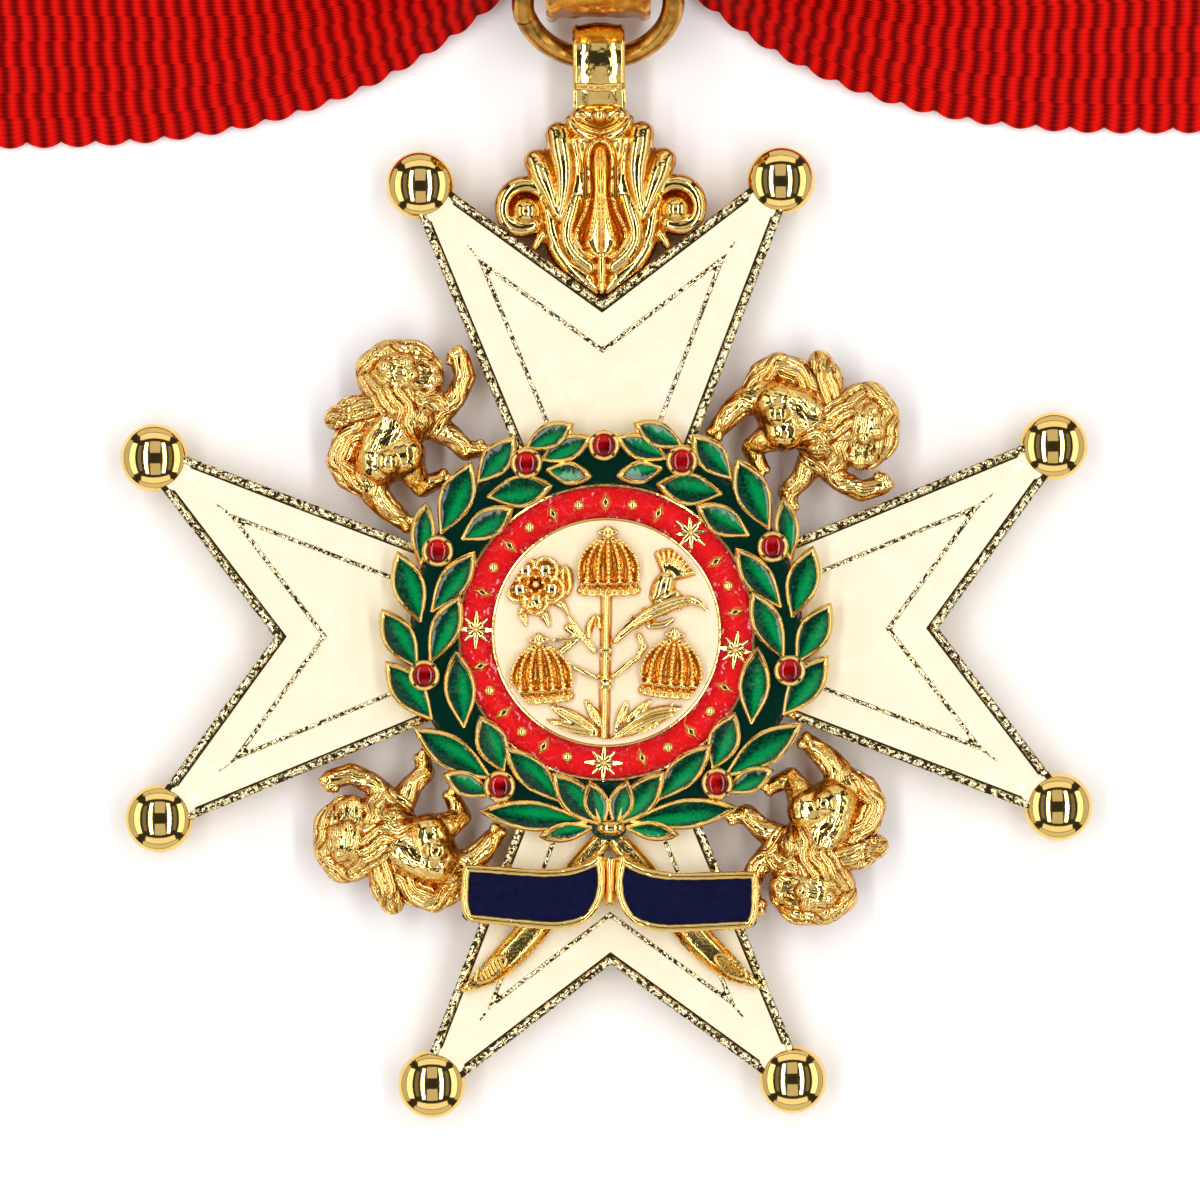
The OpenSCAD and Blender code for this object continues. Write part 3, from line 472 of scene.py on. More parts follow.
def strand_place(tree, parts):
    """Coordinates that are long along a lock of hair and short across it."""
    join_up = tree.nodes.new("ShaderNodeCombineXYZ")
    for axis, stretch in (("X", 0.35), ("Y", 1.1)):
        tree.links.new(math_node(tree, "MULTIPLY", parts.outputs[axis], stretch), join_up.inputs[axis])
    return join_up.outputs[0]


def combed(tree, place, painted_shade, height):
    """Draws the strands of a mane: a ridge for each strand, and painted amber shade in the furrow beside it.
    """
    parts = tree.nodes.new("ShaderNodeSeparateXYZ")
    tree.links.new(attribute(tree, "hair").outputs["Vector"], parts.inputs[0])
    drift = math_node(tree, "MULTIPLY", noise_node(tree, strand_place(tree, parts), 1.0, 2.0, 0.5),
                      STRAND_DRIFT)
    turns = math_node(tree, "MULTIPLY_ADD", parts.outputs["Y"], math.pi / STRAND, drift)
    wave = math_node(tree, "ABSOLUTE", math_node(tree, "SINE", turns))
    strand = math_node(tree, "POWER", wave, 0.7)
    furrow = math_node(tree, "MULTIPLY", spread(tree, strand, 0.45, 0.0), parts.outputs["Z"])
    ridges = math_node(tree, "MULTIPLY", strand, parts.outputs["Z"])
    height = math_node(tree, "MULTIPLY_ADD", ridges, STRAND_RISE, height)
    swells = noise_node(tree, place, 1100.0, 2.0)
    return (math_node(tree, "MULTIPLY_ADD", furrow, STRAND_SHADE, painted_shade),
            math_node(tree, "MULTIPLY_ADD", swells, SWELL_RISE, height))


def gilt(name, gold, hollow, smooth, rough, grain=4000.0, depth=1e-5, patchy=0.3,
         hair=False, speckle=0.0):
    """One of the gold finishes. Smooth and rough are the roughness on top and in hollows,
    and depth is how high its grain stands, in metres. Hollow is the colour of the amber
    shade that is painted into hollows, and of random patches."""
    material, tree, bsdf, place = new_material(name)
    group = grouped(tree, GILDING, place, {"Gold": (*gold, 1), "Shade and patch colour": (*hollow, 1),
                                           "Grain size": grain, "Patchiness": patchy})
    # Amber shade is painted where the stored mask says a point lies in a hollow or on a steep side.
    painted_shade = attribute(tree, "painted_shade").outputs["Fac"]
    # Speckle paints dark flecks into the shade mask: painted dark reflections on a rough edge.
    if speckle:
        flecks = spread(tree, noise_node(tree, place, 4200.0, 3.0, 0.6), 0.45, 0.55)
        painted_shade = math_node(tree, "MULTIPLY_ADD", flecks, speckle, painted_shade)
    height = group.outputs["Height"]
    if hair:
        painted_shade, height = combed(tree, place, painted_shade, height)
    tree.links.new(painted_shade, group.inputs["Painted shade"])
    tree.links.new(group.outputs["Color"], bsdf.inputs["Base Color"])
    polish = spread(tree, group.outputs["Painted shade"], 0, 1, smooth, rough)
    tree.links.new(polish, bsdf.inputs["Roughness"])
    bsdf.inputs["Metallic"].default_value = 1.0
    bumped(tree, bsdf, height, 1.0, depth)
    return material


GOLD = (0.88, 0.61, 0.2)
# The colour of the painted amber shade in hollows and on steep sides.
AMBER_SHADE = (0.52, 0.16, 0.008)
polished_gold = gilt("polished_gold", GOLD, AMBER_SHADE, 0.07, 0.2, depth=1e-6, patchy=0.08)
cast_gold = gilt("cast_gold", GOLD, (0.6, 0.26, 0.035), 0.08, 0.28, grain=3500, depth=12e-6)
furred_gold = gilt("furred_gold", GOLD, AMBER_SHADE, 0.07, 0.24, grain=3000, depth=12e-6,
                   patchy=0.15, hair=True)
grained_gold = gilt("grained_gold", GOLD, (0.3, 0.12, 0.01), 0.12, 0.3, grain=5000, depth=3e-5)
# Near-black flecks on the rims: painted dark reflections of their rough edge.
rim_gold = gilt("rim_gold", (0.98, 0.82, 0.46), (0.03, 0.018, 0.006), 0.1, 0.3, grain=5500,
                depth=4e-5, patchy=0.1, speckle=0.75)
line_gold = gilt("line_gold", (0.88, 0.62, 0.22), (0.35, 0.14, 0.015), 0.12, 0.25, grain=3000,
                 depth=12e-6, patchy=0.15)
old_brass = gilt("old_brass", (0.66, 0.36, 0.075), (0.2, 0.085, 0.015), 0.27, 0.5, grain=2600,
                 depth=4e-5, patchy=0.9)
sleeve_gold = gilt("sleeve_gold", (0.8, 0.42, 0.07), (0.36, 0.1, 0.005), 0.22, 0.4, grain=1800,
                   depth=9e-5, patchy=0.8)


# %% Enamel finishes
def glazed(name, deep, bright, roughness, foil, wave, strength=0.4, coat=0.4):
    """A glassy coloured enamel with a clear coat."""
    material, tree, bsdf, place = new_material(name)
    group = grouped(tree, GLAZE, place,
                    {"Deep": (*deep, 1), "Bright": (*bright, 1), "Foil size": foil})
    tree.links.new(attribute(tree, "tone_and_painted_light").outputs["Fac"], group.inputs["Tone and painted light"])
    tree.links.new(group.outputs["Color"], bsdf.inputs["Base Color"])
    set_knobs(bsdf, {"Roughness": roughness, "Specular IOR Level": coat, "Coat Weight": coat,
                     "Coat Roughness": 0.03})
    bumped(tree, bsdf, group.outputs["Height"], strength, wave, coat=True)
    return material


white_enamel = glazed("white_enamel", (0.93, 0.83, 0.62), (1.0, 0.97, 0.84), 0.16, 500, 0.00004)
cream_enamel = glazed("cream_enamel", (0.93, 0.8, 0.55), (1.0, 0.95, 0.76), 0.16, 500, 0.00004)
green_enamel = glazed("green_enamel", (0.0, 0.02, 0.012), (0.0, 0.24, 0.06), 0.12, 5200, 0.0001,
                      coat=0.25)
red_enamel = glazed("red_enamel", (0.2, 0.0, 0.002), (0.74, 0.008, 0.01), 0.16, 7000, 0.00026,
                    0.8, coat=0.35)
blue_enamel = glazed("blue_enamel", (0.004, 0.005, 0.022), (0.008, 0.01, 0.045), 0.1, 3000, 0.00015,
                     0.6, coat=0.14)
red_stone = glazed("red_stone", (0.05, 0.0, 0.001), (0.6, 0.002, 0.003), 0.06, 1500, 0.00001, coat=0.25)
print("materials:", len(bpy.data.materials))

# %% [markdown]
# The cross. Its plate is the loaded solid, which only needs gold. The rims round the
# enamel are rounded and a little rough on the real cross, so a fine wire with an uneven
# skin is laid along each edge, and the balls are laid over the solid's own as smooth
# spheres, because a mirror shows every facet. The real balls mirror the room as flatter
# domes do. Their shape is kept round here, and only the normals of their tops are leaned,
# which is a cheap way to bend a reflection.

# %% Cross
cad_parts["cross_frame"].data.materials.clear()
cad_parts["cross_frame"].data.materials.append(polished_gold)

RIM_IN = 0.27  # from the plate's edge in to the middle of the rim
RIM_R = 0.26
RIM_FLAT = 0.55
RIM_ROUGH = 0.3
RIM_START = 11.5  # under the wreath
RIM_END = 29.0  # inside the balls
LINE_IN = 2.7
LINE_R = 0.13
LINE_FLAT = 0.8
LINE_ROUGH = 0.45
SPUR = 0.4
EDGE_STEP = 0.22


def arm_edges():
    """The straight lines of half an arm: a point on each and its way in."""
    root, tip = Vector((ARM_ROOT, 0)), Vector(FINIAL)
    notch = Vector((0, NOTCH))
    out = (tip - root).normalized()
    tip_out = tip + Vector((out.y, -out.x)) * ARM_TIP
    outer = (tip_out - root).normalized()
    back = (tip - notch).normalized()
    tip_in = tip - Vector((back.y, -back.x)) * ARM_TIP
    inner = (tip_in - notch).normalized()
    return (root, outer, Vector((-outer.y, outer.x))), (notch, inner, Vector((inner.y, -inner.x)))


OUTER_EDGE, NOTCH_EDGE = arm_edges()


def meeting(inset):
    """Where the outer and the notch line of an arm meet, both moved in by an inset."""
    (p, a, n), (q, b, m) = OUTER_EDGE, NOTCH_EDGE
    p, q = p + n * inset, q + m * inset
    return p + a * ((q - p).cross(b) / a.cross(b))


def edge_point(edge, inset, y):
    """The point of an edge, moved in by an inset, at a distance from the centre."""
    point, ahead, into = edge
    start = point + into * inset
    return start + ahead * ((y - start.y) / ahead.y)


def flat_point(p, side, z):
    """A point of the right half of an arm, or its mirror image, at a height."""
    return Vector((side * p.x, p.y, z))


def notch_point(inset):
    """The lowest point of the fork, moved in by an inset."""
    point, ahead, into = NOTCH_EDGE
    start = point + into * inset
    return start - ahead * (start.x / ahead.x)


def rough_radii(points, radius, amount, seed):
    """Radii that wander like a hand-finished edge."""
    return [radius * (1 + amount * noise.noise(Vector((p.x * 2.3, p.y * 2.3, seed))))
            for p in points]


def rim_wire(corners, seed, degrees):
    """A stretch of rim on one of the arms."""
    path = along(corners, EDGE_STEP)
    return turn(tube(path, rough_radii(path, RIM_R, RIM_ROUGH, seed), 8, RIM_FLAT), degrees)


def cross_rims():
    """Outer rims of the four arms, from the wreath to the balls and round the notch."""
    piece = bmesh.new()
    notch = flat_point(notch_point(RIM_IN), 1, PLATE_TOP)
    high = edge_point(NOTCH_EDGE, RIM_IN, RIM_END + 0.5)
    right, left = flat_point(high, 1, PLATE_TOP), flat_point(high, -1, PLATE_TOP)
    fork = [right, right.lerp(notch, 0.99), left.lerp(notch, 0.99), left]
    for k, degrees in enumerate(ARM_TURNS.values()):
        for side in (1, -1):
            ends = [flat_point(edge_point(OUTER_EDGE, RIM_IN, y), side, PLATE_TOP)
                    for y in (RIM_START, RIM_END)]
            join(piece, rim_wire(ends, k + side, degrees))
        join(piece, rim_wire(fork, k + 7, degrees))
    return piece


def line_corners(inset, z):
    """The corners of the inner line of an arm, from one side of the wreath to the other."""
    low, corner, notch = edge_point(OUTER_EDGE, inset, RIM_START), meeting(inset), notch_point(inset)
    return [flat_point(low, 1, z), flat_point(corner, 1, z), flat_point(notch, 1, z),
            flat_point(corner, -1, z), flat_point(low, -1, z)]


def cross_lines():
    """The inner gold line of each arm, with the short spur at each of its corners."""
    piece = bmesh.new()
    points = line_corners(LINE_IN, PLATE_TOP)
    for k, degrees in enumerate(ARM_TURNS.values()):
        for a, b in zip(points, points[1:]):
            path = along([a, b], EDGE_STEP)
            radii = rough_radii(path, LINE_R, LINE_ROUGH, k + 3)
            join(piece, turn(tube(path, radii, 6, LINE_FLAT), degrees))
        for side in (1, -1):
            start, end = [flat_point(meeting(inset), side, PLATE_TOP)
                          for inset in (LINE_IN, LINE_IN - SPUR)]
            path = along([start.lerp(end, -0.4), end], 0.2)
            radii = [LINE_R * (1.2 - 0.8 * i / (len(path) - 1)) for i in range(len(path))]
            join(piece, turn(tube(path, radii, 6, LINE_FLAT), degrees))
    return piece


DOME = 0.75  # slope of the dome as a share of the ball's
DOME_EDGE = 0.84  # from here outwards it turns back to the ball's own slope
BALL_SKIN = 0.012


def finials():
    """The eight balls."""
    piece = bmesh.new()
    for degrees in ARM_TURNS.values():
        for side in (1, -1):
            centre = (side * FINIAL[0], FINIAL[1], FINIAL_R)
            join(piece, turn(ball(centre, FINIAL_R + BALL_SKIN, 64, 32), degrees))
    return piece


def shade_as_domes(mesh, count):
    """Leans the normals of balls towards the top, so that they mirror as flatter domes do."""
    size = len(mesh.vertices) // count
    places = [v.co.copy() for v in mesh.vertices]
    normals = []
    for k in range(count):
        block = places[k * size:(k + 1) * size]
        middle = sum(block, Vector()) / size
        for p in block:
            n = (p - middle).normalized()
            r = n.to_2d().length
            if n.z > 0 and r > 1e-6:
                past = max(0.0, (r - DOME_EDGE) / (1 - DOME_EDGE))
                slope = DOME * r + (1 - DOME) * past * past * (3 - 2 * past)
                rise = math.sqrt(max(0.0, 1 - slope * slope))
                n = Vector((n.x * slope / r, n.y * slope / r, rise))
            normals.append(n)
    mesh.normals_split_custom_set_from_vertices(normals)


finished("rims", cross_rims(), rim_gold)
finished("inner_lines", cross_lines(), rim_gold)
balls = finished("ball_finials", finials(), polished_gold)
shade_as_domes(balls.data, 8)

# %% [markdown]
# The white enamel fills the cells of the cross. The solids have the right shape, so they
# stay. A Weld modifier joins their loose triangles, and a Bevel rounds the edge where
# the real enamel creeps up against the metal. Two thin pieces lie on top: the last of the
# white, which runs up to each ball, and the white that creeps up to the inner lines from
# both sides and leaves only their crest bare.

# %% White enamel
TIP_START = 1.9  # from the middle of a ball, so inside it
TIP_REACH = 0.7
TIP_IN = 0.42  # from the plate's edge, under the rim
TIP_TOP = PLATE_TOP + 0.014
TIP_FALL = 0.026  # how far it dips where it meets the larger field
TIP_FALL_START = 2.44
TIP_FALL_W = 0.16
CREEP_BESIDE = 0.26
CREEP_R = 0.14
CREEP_FLAT = 0.25
CREEP_Z = PLATE_TOP - 0.01
BEVEL_FROM = math.radians(35)


def rounded(node, material, width):
    """Gives a loaded solid a finish and soft edges."""
    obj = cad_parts[node]
    obj.data.materials.clear()
    obj.data.materials.append(material)
    weld = obj.modifiers.new("weld", "WELD")
    weld.merge_threshold = 1e-6
    bevel = obj.modifiers.new("bevel", "BEVEL")
    bevel.width = width * MM
    bevel.segments = 3
    bevel.limit_method = "ANGLE"
    bevel.angle_limit = BEVEL_FROM
    weighted = obj.modifiers.new("weighted", "WEIGHTED_NORMAL")
    weighted.weight = 100
    obj.data.polygons.foreach_set("use_smooth", [True] * len(obj.data.polygons))


def edge_crossing(edge, inset, r):
    """Where an edge, moved in by an inset, comes within a distance of a ball's middle."""
    point, ahead, into = edge
    away = point + into * inset - Vector(FINIAL)
    along_it = away.dot(ahead)
    return away + ahead * (-along_it - math.sqrt(along_it ** 2 - away.length_squared + r * r))


def tip_point(side, u, v):
    """A point of the white at a ball: u runs from edge to edge, v away from the ball."""
    r = TIP_START + TIP_REACH * v
    first, last = [edge_crossing(edge, TIP_IN, r) for edge in (OUTER_EDGE, NOTCH_EDGE)]
    p = first.lerp(last, u).normalized() * r + Vector(FINIAL)
    fall = min(1.0, max(0.0, (r - TIP_FALL_START) / TIP_FALL_W))
    return flat_point(p, side, TIP_TOP - TIP_FALL * fall)


def tip_enamel():
    """The last of the white, which runs up to each ball."""
    piece = bmesh.new()
    for degrees in ARM_TURNS.values():
        for side in (1, -1):
            part = patch(16, 10, lambda u, v: tip_point(side, u, v), 0.1)
            join(piece, turn(part, degrees))
    return piece


def line_creep():
    """White that creeps up to the inner lines from both sides."""
    piece = bmesh.new()
    for degrees in ARM_TURNS.values():
        for inset in (LINE_IN - CREEP_BESIDE, LINE_IN + CREEP_BESIDE):
            corners = line_corners(inset, CREEP_Z)
            for a, b in zip(corners, corners[1:]):
                join(piece, turn(tube([a, b], CREEP_R, 6, CREEP_FLAT), degrees))
    return piece


finished("tip_enamel", tip_enamel(), white_enamel)
finished("line_creep", line_creep(), white_enamel)
for name in ARM_TURNS:
    rounded("enamel_band_" + name, white_enamel, 0.06)
    rounded("enamel_panel_" + name, white_enamel, 0.06)
rounded("centre_enamel", cream_enamel, 0.05)
rounded("clasp", polished_gold, 0.5)

# %% [markdown]
# The lions. A cast animal is round everywhere and has no edges to extrude from, so it is
# built the way a wax model is: balls are set at the joints, every pair of neighbours is
# wrapped in a hull, and a voxel remesh melts the lot into one skin. The same joints then
# tell each point of that skin which limb it lies on, and the locks of the mane run along
# that limb.

# %% Lion: joints
# Each limb is a row of joints: along the back, out from the feet, up and radius, as
# shares of the lion's size, then how thick its hair is.
LION_LIMBS = [
    # mane over the head
    (1, [(0.18, 0.93, 0.01, 0.12), (0.3, 0.9, 0.02, 0.13), (0.4, 0.78, 0.03, 0.14),
           (0.43, 0.66, 0.02, 0.1)]),
    # face and muzzle
    (0.25, [(0.28, 0.78, 0.05, 0.17), (0.39, 0.63, 0.04, 0.11)]),
    # neck, shoulder and chest
    (1, [(0.16, 0.87, 0, 0.14), (0.14, 0.7, 0.03, 0.175), (0.08, 0.52, 0, 0.165)]),
    (0.8, [(0.25, 0.56, 0.02, 0.13), (0.3, 0.43, 0, 0.1), (0.18, 0.39, 0, 0.1)]),
    # raised foreleg
    (0.35, [(0.26, 0.41, 0, 0.095), (0.42, 0.4, 0, 0.075), (0.57, 0.45, 0, 0.07), (0.64, 0.57, 0, 0.066)]),
    # standing foreleg
    (0.35, [(0.18, 0.39, -0.02, 0.1), (0.22, 0.23, -0.03, 0.075), (0.22, 0.1, -0.05, 0.068),
           (0.29, 0.04, -0.05, 0.05)]),
    # body and haunch
    (0.1, [(0.04, 0.58, 0, 0.165), (-0.13, 0.54, 0, 0.165), (-0.24, 0.47, 0, 0.175)]),
    (0, [(-0.24, 0.47, 0.01, 0.17), (-0.1, 0.38, 0.03, 0.15)]),
    # near hind leg
    (0.2, [(-0.1, 0.36, 0.02, 0.13), (-0.14, 0.25, 0, 0.09), (-0.17, 0.14, -0.04, 0.068),
           (-0.04, 0.09, -0.05, 0.056)]),
    # far hind leg
    (0.35, [(-0.35, 0.45, -0.02, 0.125), (-0.42, 0.34, -0.03, 0.095), (-0.43, 0.21, -0.04, 0.082),
           (-0.42, 0.07, -0.05, 0.06)]),
    # tail and its tuft
    (0.8, [(-0.42, 0.43, -0.03, 0.09), (-0.47, 0.55, -0.02, 0.085), (-0.43, 0.67, 0, 0.082),
           (-0.3, 0.73, 0.01, 0.085), (-0.14, 0.74, 0.02, 0.09)]),
    (1, [(0, 0.72, 0.03, 0.105), (-0.13, 0.83, 0.03, 0.105), (-0.24, 0.88, 0.02, 0.075)]),
]
# Small forms on top: brow, ear, jaws and nose, toes and the knob of the shoulder
LION_KNOBS = [
    (0.36, 0.8, 0.17, 0.06), (0.24, 0.88, 0.14, 0.055), (0.42, 0.58, 0.1, 0.055),
    (0.34, 0.56, 0.09, 0.05), (0.45, 0.64, 0.09, 0.05), (0.33, 0.71, 0.19, 0.045),
    (0.62, 0.62, 0.03, 0.04), (0.67, 0.61, 0.02, 0.04), (0.58, 0.6, 0.02, 0.036),
    (0.32, 0.01, -0.02, 0.035), (0.32, 0.06, -0.02, 0.035), (0, 0.1, -0.03, 0.038),
    (0, 0.05, -0.03, 0.036), (-0.38, 0.03, -0.03, 0.038), (-0.44, 0.02, -0.03, 0.038),
    (0.16, 0.47, 0.1, 0.1), (-0.2, 0.42, 0.12, 0.1),
]
LION_SEAT = STEM_R + 1.8
LION_LIFT = 2.5
LION_SIZE = 9.97
LION_VOXEL = 0.085
JOINT_SWELL = 1.04


def lion_wax():
    """The lion's balls and hulls, not yet melted together."""
    piece = bmesh.new()
    for _, limb in LION_LIMBS:
        for first, second in zip(limb, limb[1:]):
            part = bmesh.new()
            for x, y, z, r in (first, second):
                bmesh.ops.create_icosphere(part, subdivisions=3, radius=r * JOINT_SWELL,
                                           matrix=Matrix.Translation((x, y, z)))
            made = bmesh.ops.convex_hull(part, input=part.verts[:])
            inside = [g for g in made["geom_interior"] if isinstance(g, bmesh.types.BMVert)]
            bmesh.ops.delete(part, geom=inside, context="VERTS")
            join(piece, part)
    for x, y, z, r in LION_KNOBS:
        join(piece, ball((x, y, z), r, 20))
    bmesh.ops.scale(piece, vec=(LION_SIZE,) * 3, verts=piece.verts)
    bmesh.ops.translate(piece, vec=(0, LION_SEAT, LION_LIFT), verts=piece.verts)
    return piece


def melted(piece, voxel):
    """Melts overlapping forms into one skin with a voxel remesh, and returns its mesh."""
    mesh = bpy.data.meshes.new("wax")
    piece.to_mesh(mesh)
    piece.free()
    obj = in_scene("wax", mesh)
    remesh = obj.modifiers.new("remesh", "REMESH")
    remesh.mode = "VOXEL"
    remesh.voxel_size = voxel
    smooth = obj.modifiers.new("smooth", "SMOOTH")
    smooth.factor = 0.5
    smooth.iterations = 3
    done = obj.evaluated_get(bpy.context.evaluated_depsgraph_get())
    skin = bpy.data.meshes.new_from_object(done)
    bpy.data.objects.remove(obj)
    bpy.data.meshes.remove(mesh)
    return skin


# %% [markdown]
# Casting detail. Arrays make this quick: all points of the skin are moved at once. Locks
# of hair are long waves that run along a limb, and a stored mask measures how far a point
# lies below its neighbours and how far it leans from facing up, so that amber shade is
# painted there.

# %% Lion: skin
def rows_of(layer, name):
    """Reads a vector from each member of a mesh's layer into the rows of an array."""
    found = np.empty(len(layer) * 3)
    layer.foreach_get(name, found)
    return found.reshape(-1, 3)


def store(mesh, name, values):
    """Keeps a number or a vector at each point of a mesh."""
    kind, field = ("FLOAT", "value") if values.ndim == 1 else ("FLOAT_VECTOR", "vector")
    layer = mesh.attributes.new(name, kind, "POINT")
    layer.data.foreach_set(field, values.astype(np.float32).ravel())


def mark_painted_shade(mesh, rounds, depth):
    """Stores a mask of painted shade: how far each point lies below the average of what is round it, and how
    far it leans from facing up.
    """
    points, normals = rows_of(mesh.vertices, "co"), rows_of(mesh.vertex_normals, "vector")
    ends = np.empty(len(mesh.edges) * 2, np.int64)
    mesh.edges.foreach_get("vertices", ends)
    a, b = ends.reshape(-1, 2).T
    here, beside = np.concatenate([a, b]), np.concatenate([b, a])
    count = np.bincount(here, minlength=len(points))[:, None]
    soft = points.copy()
    for _ in range(rounds):
        total = [np.bincount(here, soft[beside, axis], len(points)) for axis in range(3)]
        soft = np.column_stack(total) / np.maximum(count, 1)
    below = ((soft - points) * normals).sum(1) / depth
    # Sides that lean away from the top get painted shade too.
    steep = np.clip(0.95 - normals[:, 2], 0, 1)
    store(mesh, "painted_shade", np.clip(below + 1.2 * steep, 0, 1))


def limb_places(points, limbs):
    """For each point: the nearest limb's number, how far along it and how far round it."""
    best = np.full(len(points), 1e9)
    which = np.zeros(len(points), int)
    along_limb = np.zeros(len(points))
    round_limb = np.zeros(len(points))
    for n, (_, limb) in enumerate(limbs):
        run = 0.0
        for first, second in zip(limb, limb[1:]):
            a, b = np.array(first[:3]), np.array(second[:3])
            span = b - a
            reach = np.linalg.norm(span)
            t = np.clip((points - a) @ span / (span @ span), 0, 1)
            away = points - (a + t[:, None] * span)
            thick = first[3] + t * (second[3] - first[3])
            gap = np.linalg.norm(away, axis=1) - thick
            side = np.cross(span / reach, (0, 0, 1))
            side /= np.linalg.norm(side)
            angle = np.arctan2(away @ side, away[:, 2] + 1e-6)
            nearer = gap < best
            best[nearer] = gap[nearer]
            which[nearer] = n
            along_limb[nearer] = (run + t * reach)[nearer]
            round_limb[nearer] = (angle * thick)[nearer]
            run += reach
    return which, along_limb, round_limb


LOCK_DEPTH = 0.2
LOCK_WIDTH = 0.78
LIMB_STEP = 7.3  # sets the strands of neighbouring limbs apart


def groom(mesh):
    """Cuts the locks of hair into the lion's skin and stores where each point lies on a limb."""
    points, normals = rows_of(mesh.vertices, "co"), rows_of(mesh.vertex_normals, "vector")
    places = (points - (0, LION_SEAT, LION_LIFT)) / LION_SIZE
    which, run, around = limb_places(places, LION_LIMBS)
    thick = np.array([hair for hair, _ in LION_LIMBS])[which]
    run, around = run * LION_SIZE, around * LION_SIZE
    sway = 0.35 * np.sin(run * 1.7 + which * 2.1) + 0.12 * np.sin(run * 3.1 + around)
    wave = np.abs(np.sin((around + sway) * np.pi / LOCK_WIDTH))
    push = LOCK_DEPTH * thick * (wave ** 0.8 - 0.7)
    moved = points + normals * push[:, None]
    mesh.vertices.foreach_set("co", moved.ravel())
    mesh.update()
    strands = around + sway + which * LIMB_STEP
    store(mesh, "hair", np.column_stack([run, strands, np.minimum(thick * 1.1, 1)]))


def flat_against(points, centre, inward):
    """Moves the points that lie beyond a plane back onto it."""
    depth = (points - centre) @ np.array(inward)
    return points - np.minimum(depth, 0)[:, None] * np.array(inward)


LION_GAP = 0.1
WREATH_REACH = 1.22 * STEM_R
SCROLL_REACH = (10.2, 2.5)  # half of the room that the scroll takes, along and across
SCROLL_MID = Vector((0, -(STEM_R + 5.2), 0))
RECESS_ROUNDS = 12
RECESS_DEPTH = 0.16


def lion(name, degrees, skin):
    """One lion: turned into its angle, and flat where it meets the arms and the wreath."""
    mesh = skin.copy()
    mesh.transform(Matrix.Rotation(math.radians(degrees), 4, "Z"))
    points = rows_of(mesh.vertices, "co")
    root, _, into = OUTER_EDGE
    for side in (1, -1):
        turned_by = Matrix.Rotation(math.radians(degrees - side * 45), 2)
        edge = turned_by @ Vector((-side * (root.x + LION_GAP), root.y))
        away = turned_by @ Vector((side * into.x, -into.y))
        points = flat_against(points, (edge.x, edge.y, 0), (away.x, away.y, 0))
    radius = np.hypot(points[:, 0], points[:, 1])
    in_scroll = np.abs(points[:, :2] - SCROLL_MID.to_2d()) < SCROLL_REACH
    under = (radius < WREATH_REACH) | in_scroll.all(1)
    points[under, 2] = np.minimum(points[under, 2], PLATE_TOP)
    mesh.vertices.foreach_set("co", points.ravel())
    mesh.update()
    mark_painted_shade(mesh, RECESS_ROUNDS, RECESS_DEPTH)
    mesh.transform(PLACE)
    dressed("lion_" + name + "_cast", mesh, furred_gold, ["lion_" + name])


lion_skin = melted(lion_wax(), LION_VOXEL)
groom(lion_skin)
print("points of a lion:", len(lion_skin.vertices))
for name, degrees in LION_TURNS.items():
    lion(name, degrees, lion_skin)

# %% [markdown]
# The wreath. On the real badge it is one gold casting: walls stand up round each leaf,
# clear green enamel is melted between them, and a red stone sits in each cup. Here each
# leaf is a low gold block, a wire bent round its edge, and a domed pool of enamel with a
# painted highlight along a band beside its middle.

# %% Wreath: leaves
# Angle and reach of the base, angle and reach of the tip, width; for one side
LEAF_ROWS = [
    (5, 1.045, 18.4, 1.142, 0.5), (6.5, 1.015, 35.8, 1.164, 0.85), (2.5, 1.03, 20.9, 0.81, 0.88),
    (15.5, 0.935, 41.5, 0.82, 0.85), (37, 0.925, 56.4, 0.81, 0.9), (39, 0.995, 63.7, 1.143, 0.95),
    (36.5, 1.07, 49.3, 1.146, 0.68), (64.3, 1.043, 82.7, 1.182, 0.95), (57, 0.915, 82.8, 0.81, 0.9),
    (80.2, 1.03, 96.2, 1.199, 0.92), (81, 0.955, 104.2, 0.81, 0.85), (94, 0.995, 111.4, 1.188, 0.95),
    (97.5, 0.94, 121.5, 0.825, 0.85), (111, 1.06, 126, 1.182, 0.66), (121.6, 1.03, 141.9, 1.155, 1),
    (123.5, 0.92, 143.1, 0.832, 0.85), (140.2, 1.06, 155.2, 1.145, 0.85),
    (139.5, 0.965, 159.7, 0.837, 0.95), (157, 1.075, 171.2, 1.126, 0.7),
    (160, 0.985, 176, 1.045, 0.7), (160.5, 0.925, 174.7, 0.84, 0.62),
]
BERRY_ANGLES = [35.5, 77.5, 116.5, 155.5, -35.5, -77.5, -116.5, -155.5, 180]
LEAF_LOW = BASE_TOP + 0.42
LEAF_RISE = 0.5
FOOT_LEAF = ((0.03, -1.03, 0), (0.098, -0.805, 0), 0.7)  # the small inner one at the foot
WIRE_R = 0.195
POOL_T = 0.2


def all_leaves():
    """Base, tip and width of every leaf, in millimetres."""
    found = []
    for side in (1, -1):
        for base_a, base_r, tip_a, tip_r, width in LEAF_ROWS:
            found.append((polar(side * base_a, base_r * STEM_R),
                          polar(side * tip_a, tip_r * STEM_R), width * LEAF_W))
        base, tip = [Vector((side * x, y, z)) * STEM_R for x, y, z in FOOT_LEAF[:2]]
        found.append((base, tip, FOOT_LEAF[2] * LEAF_W))
    return found


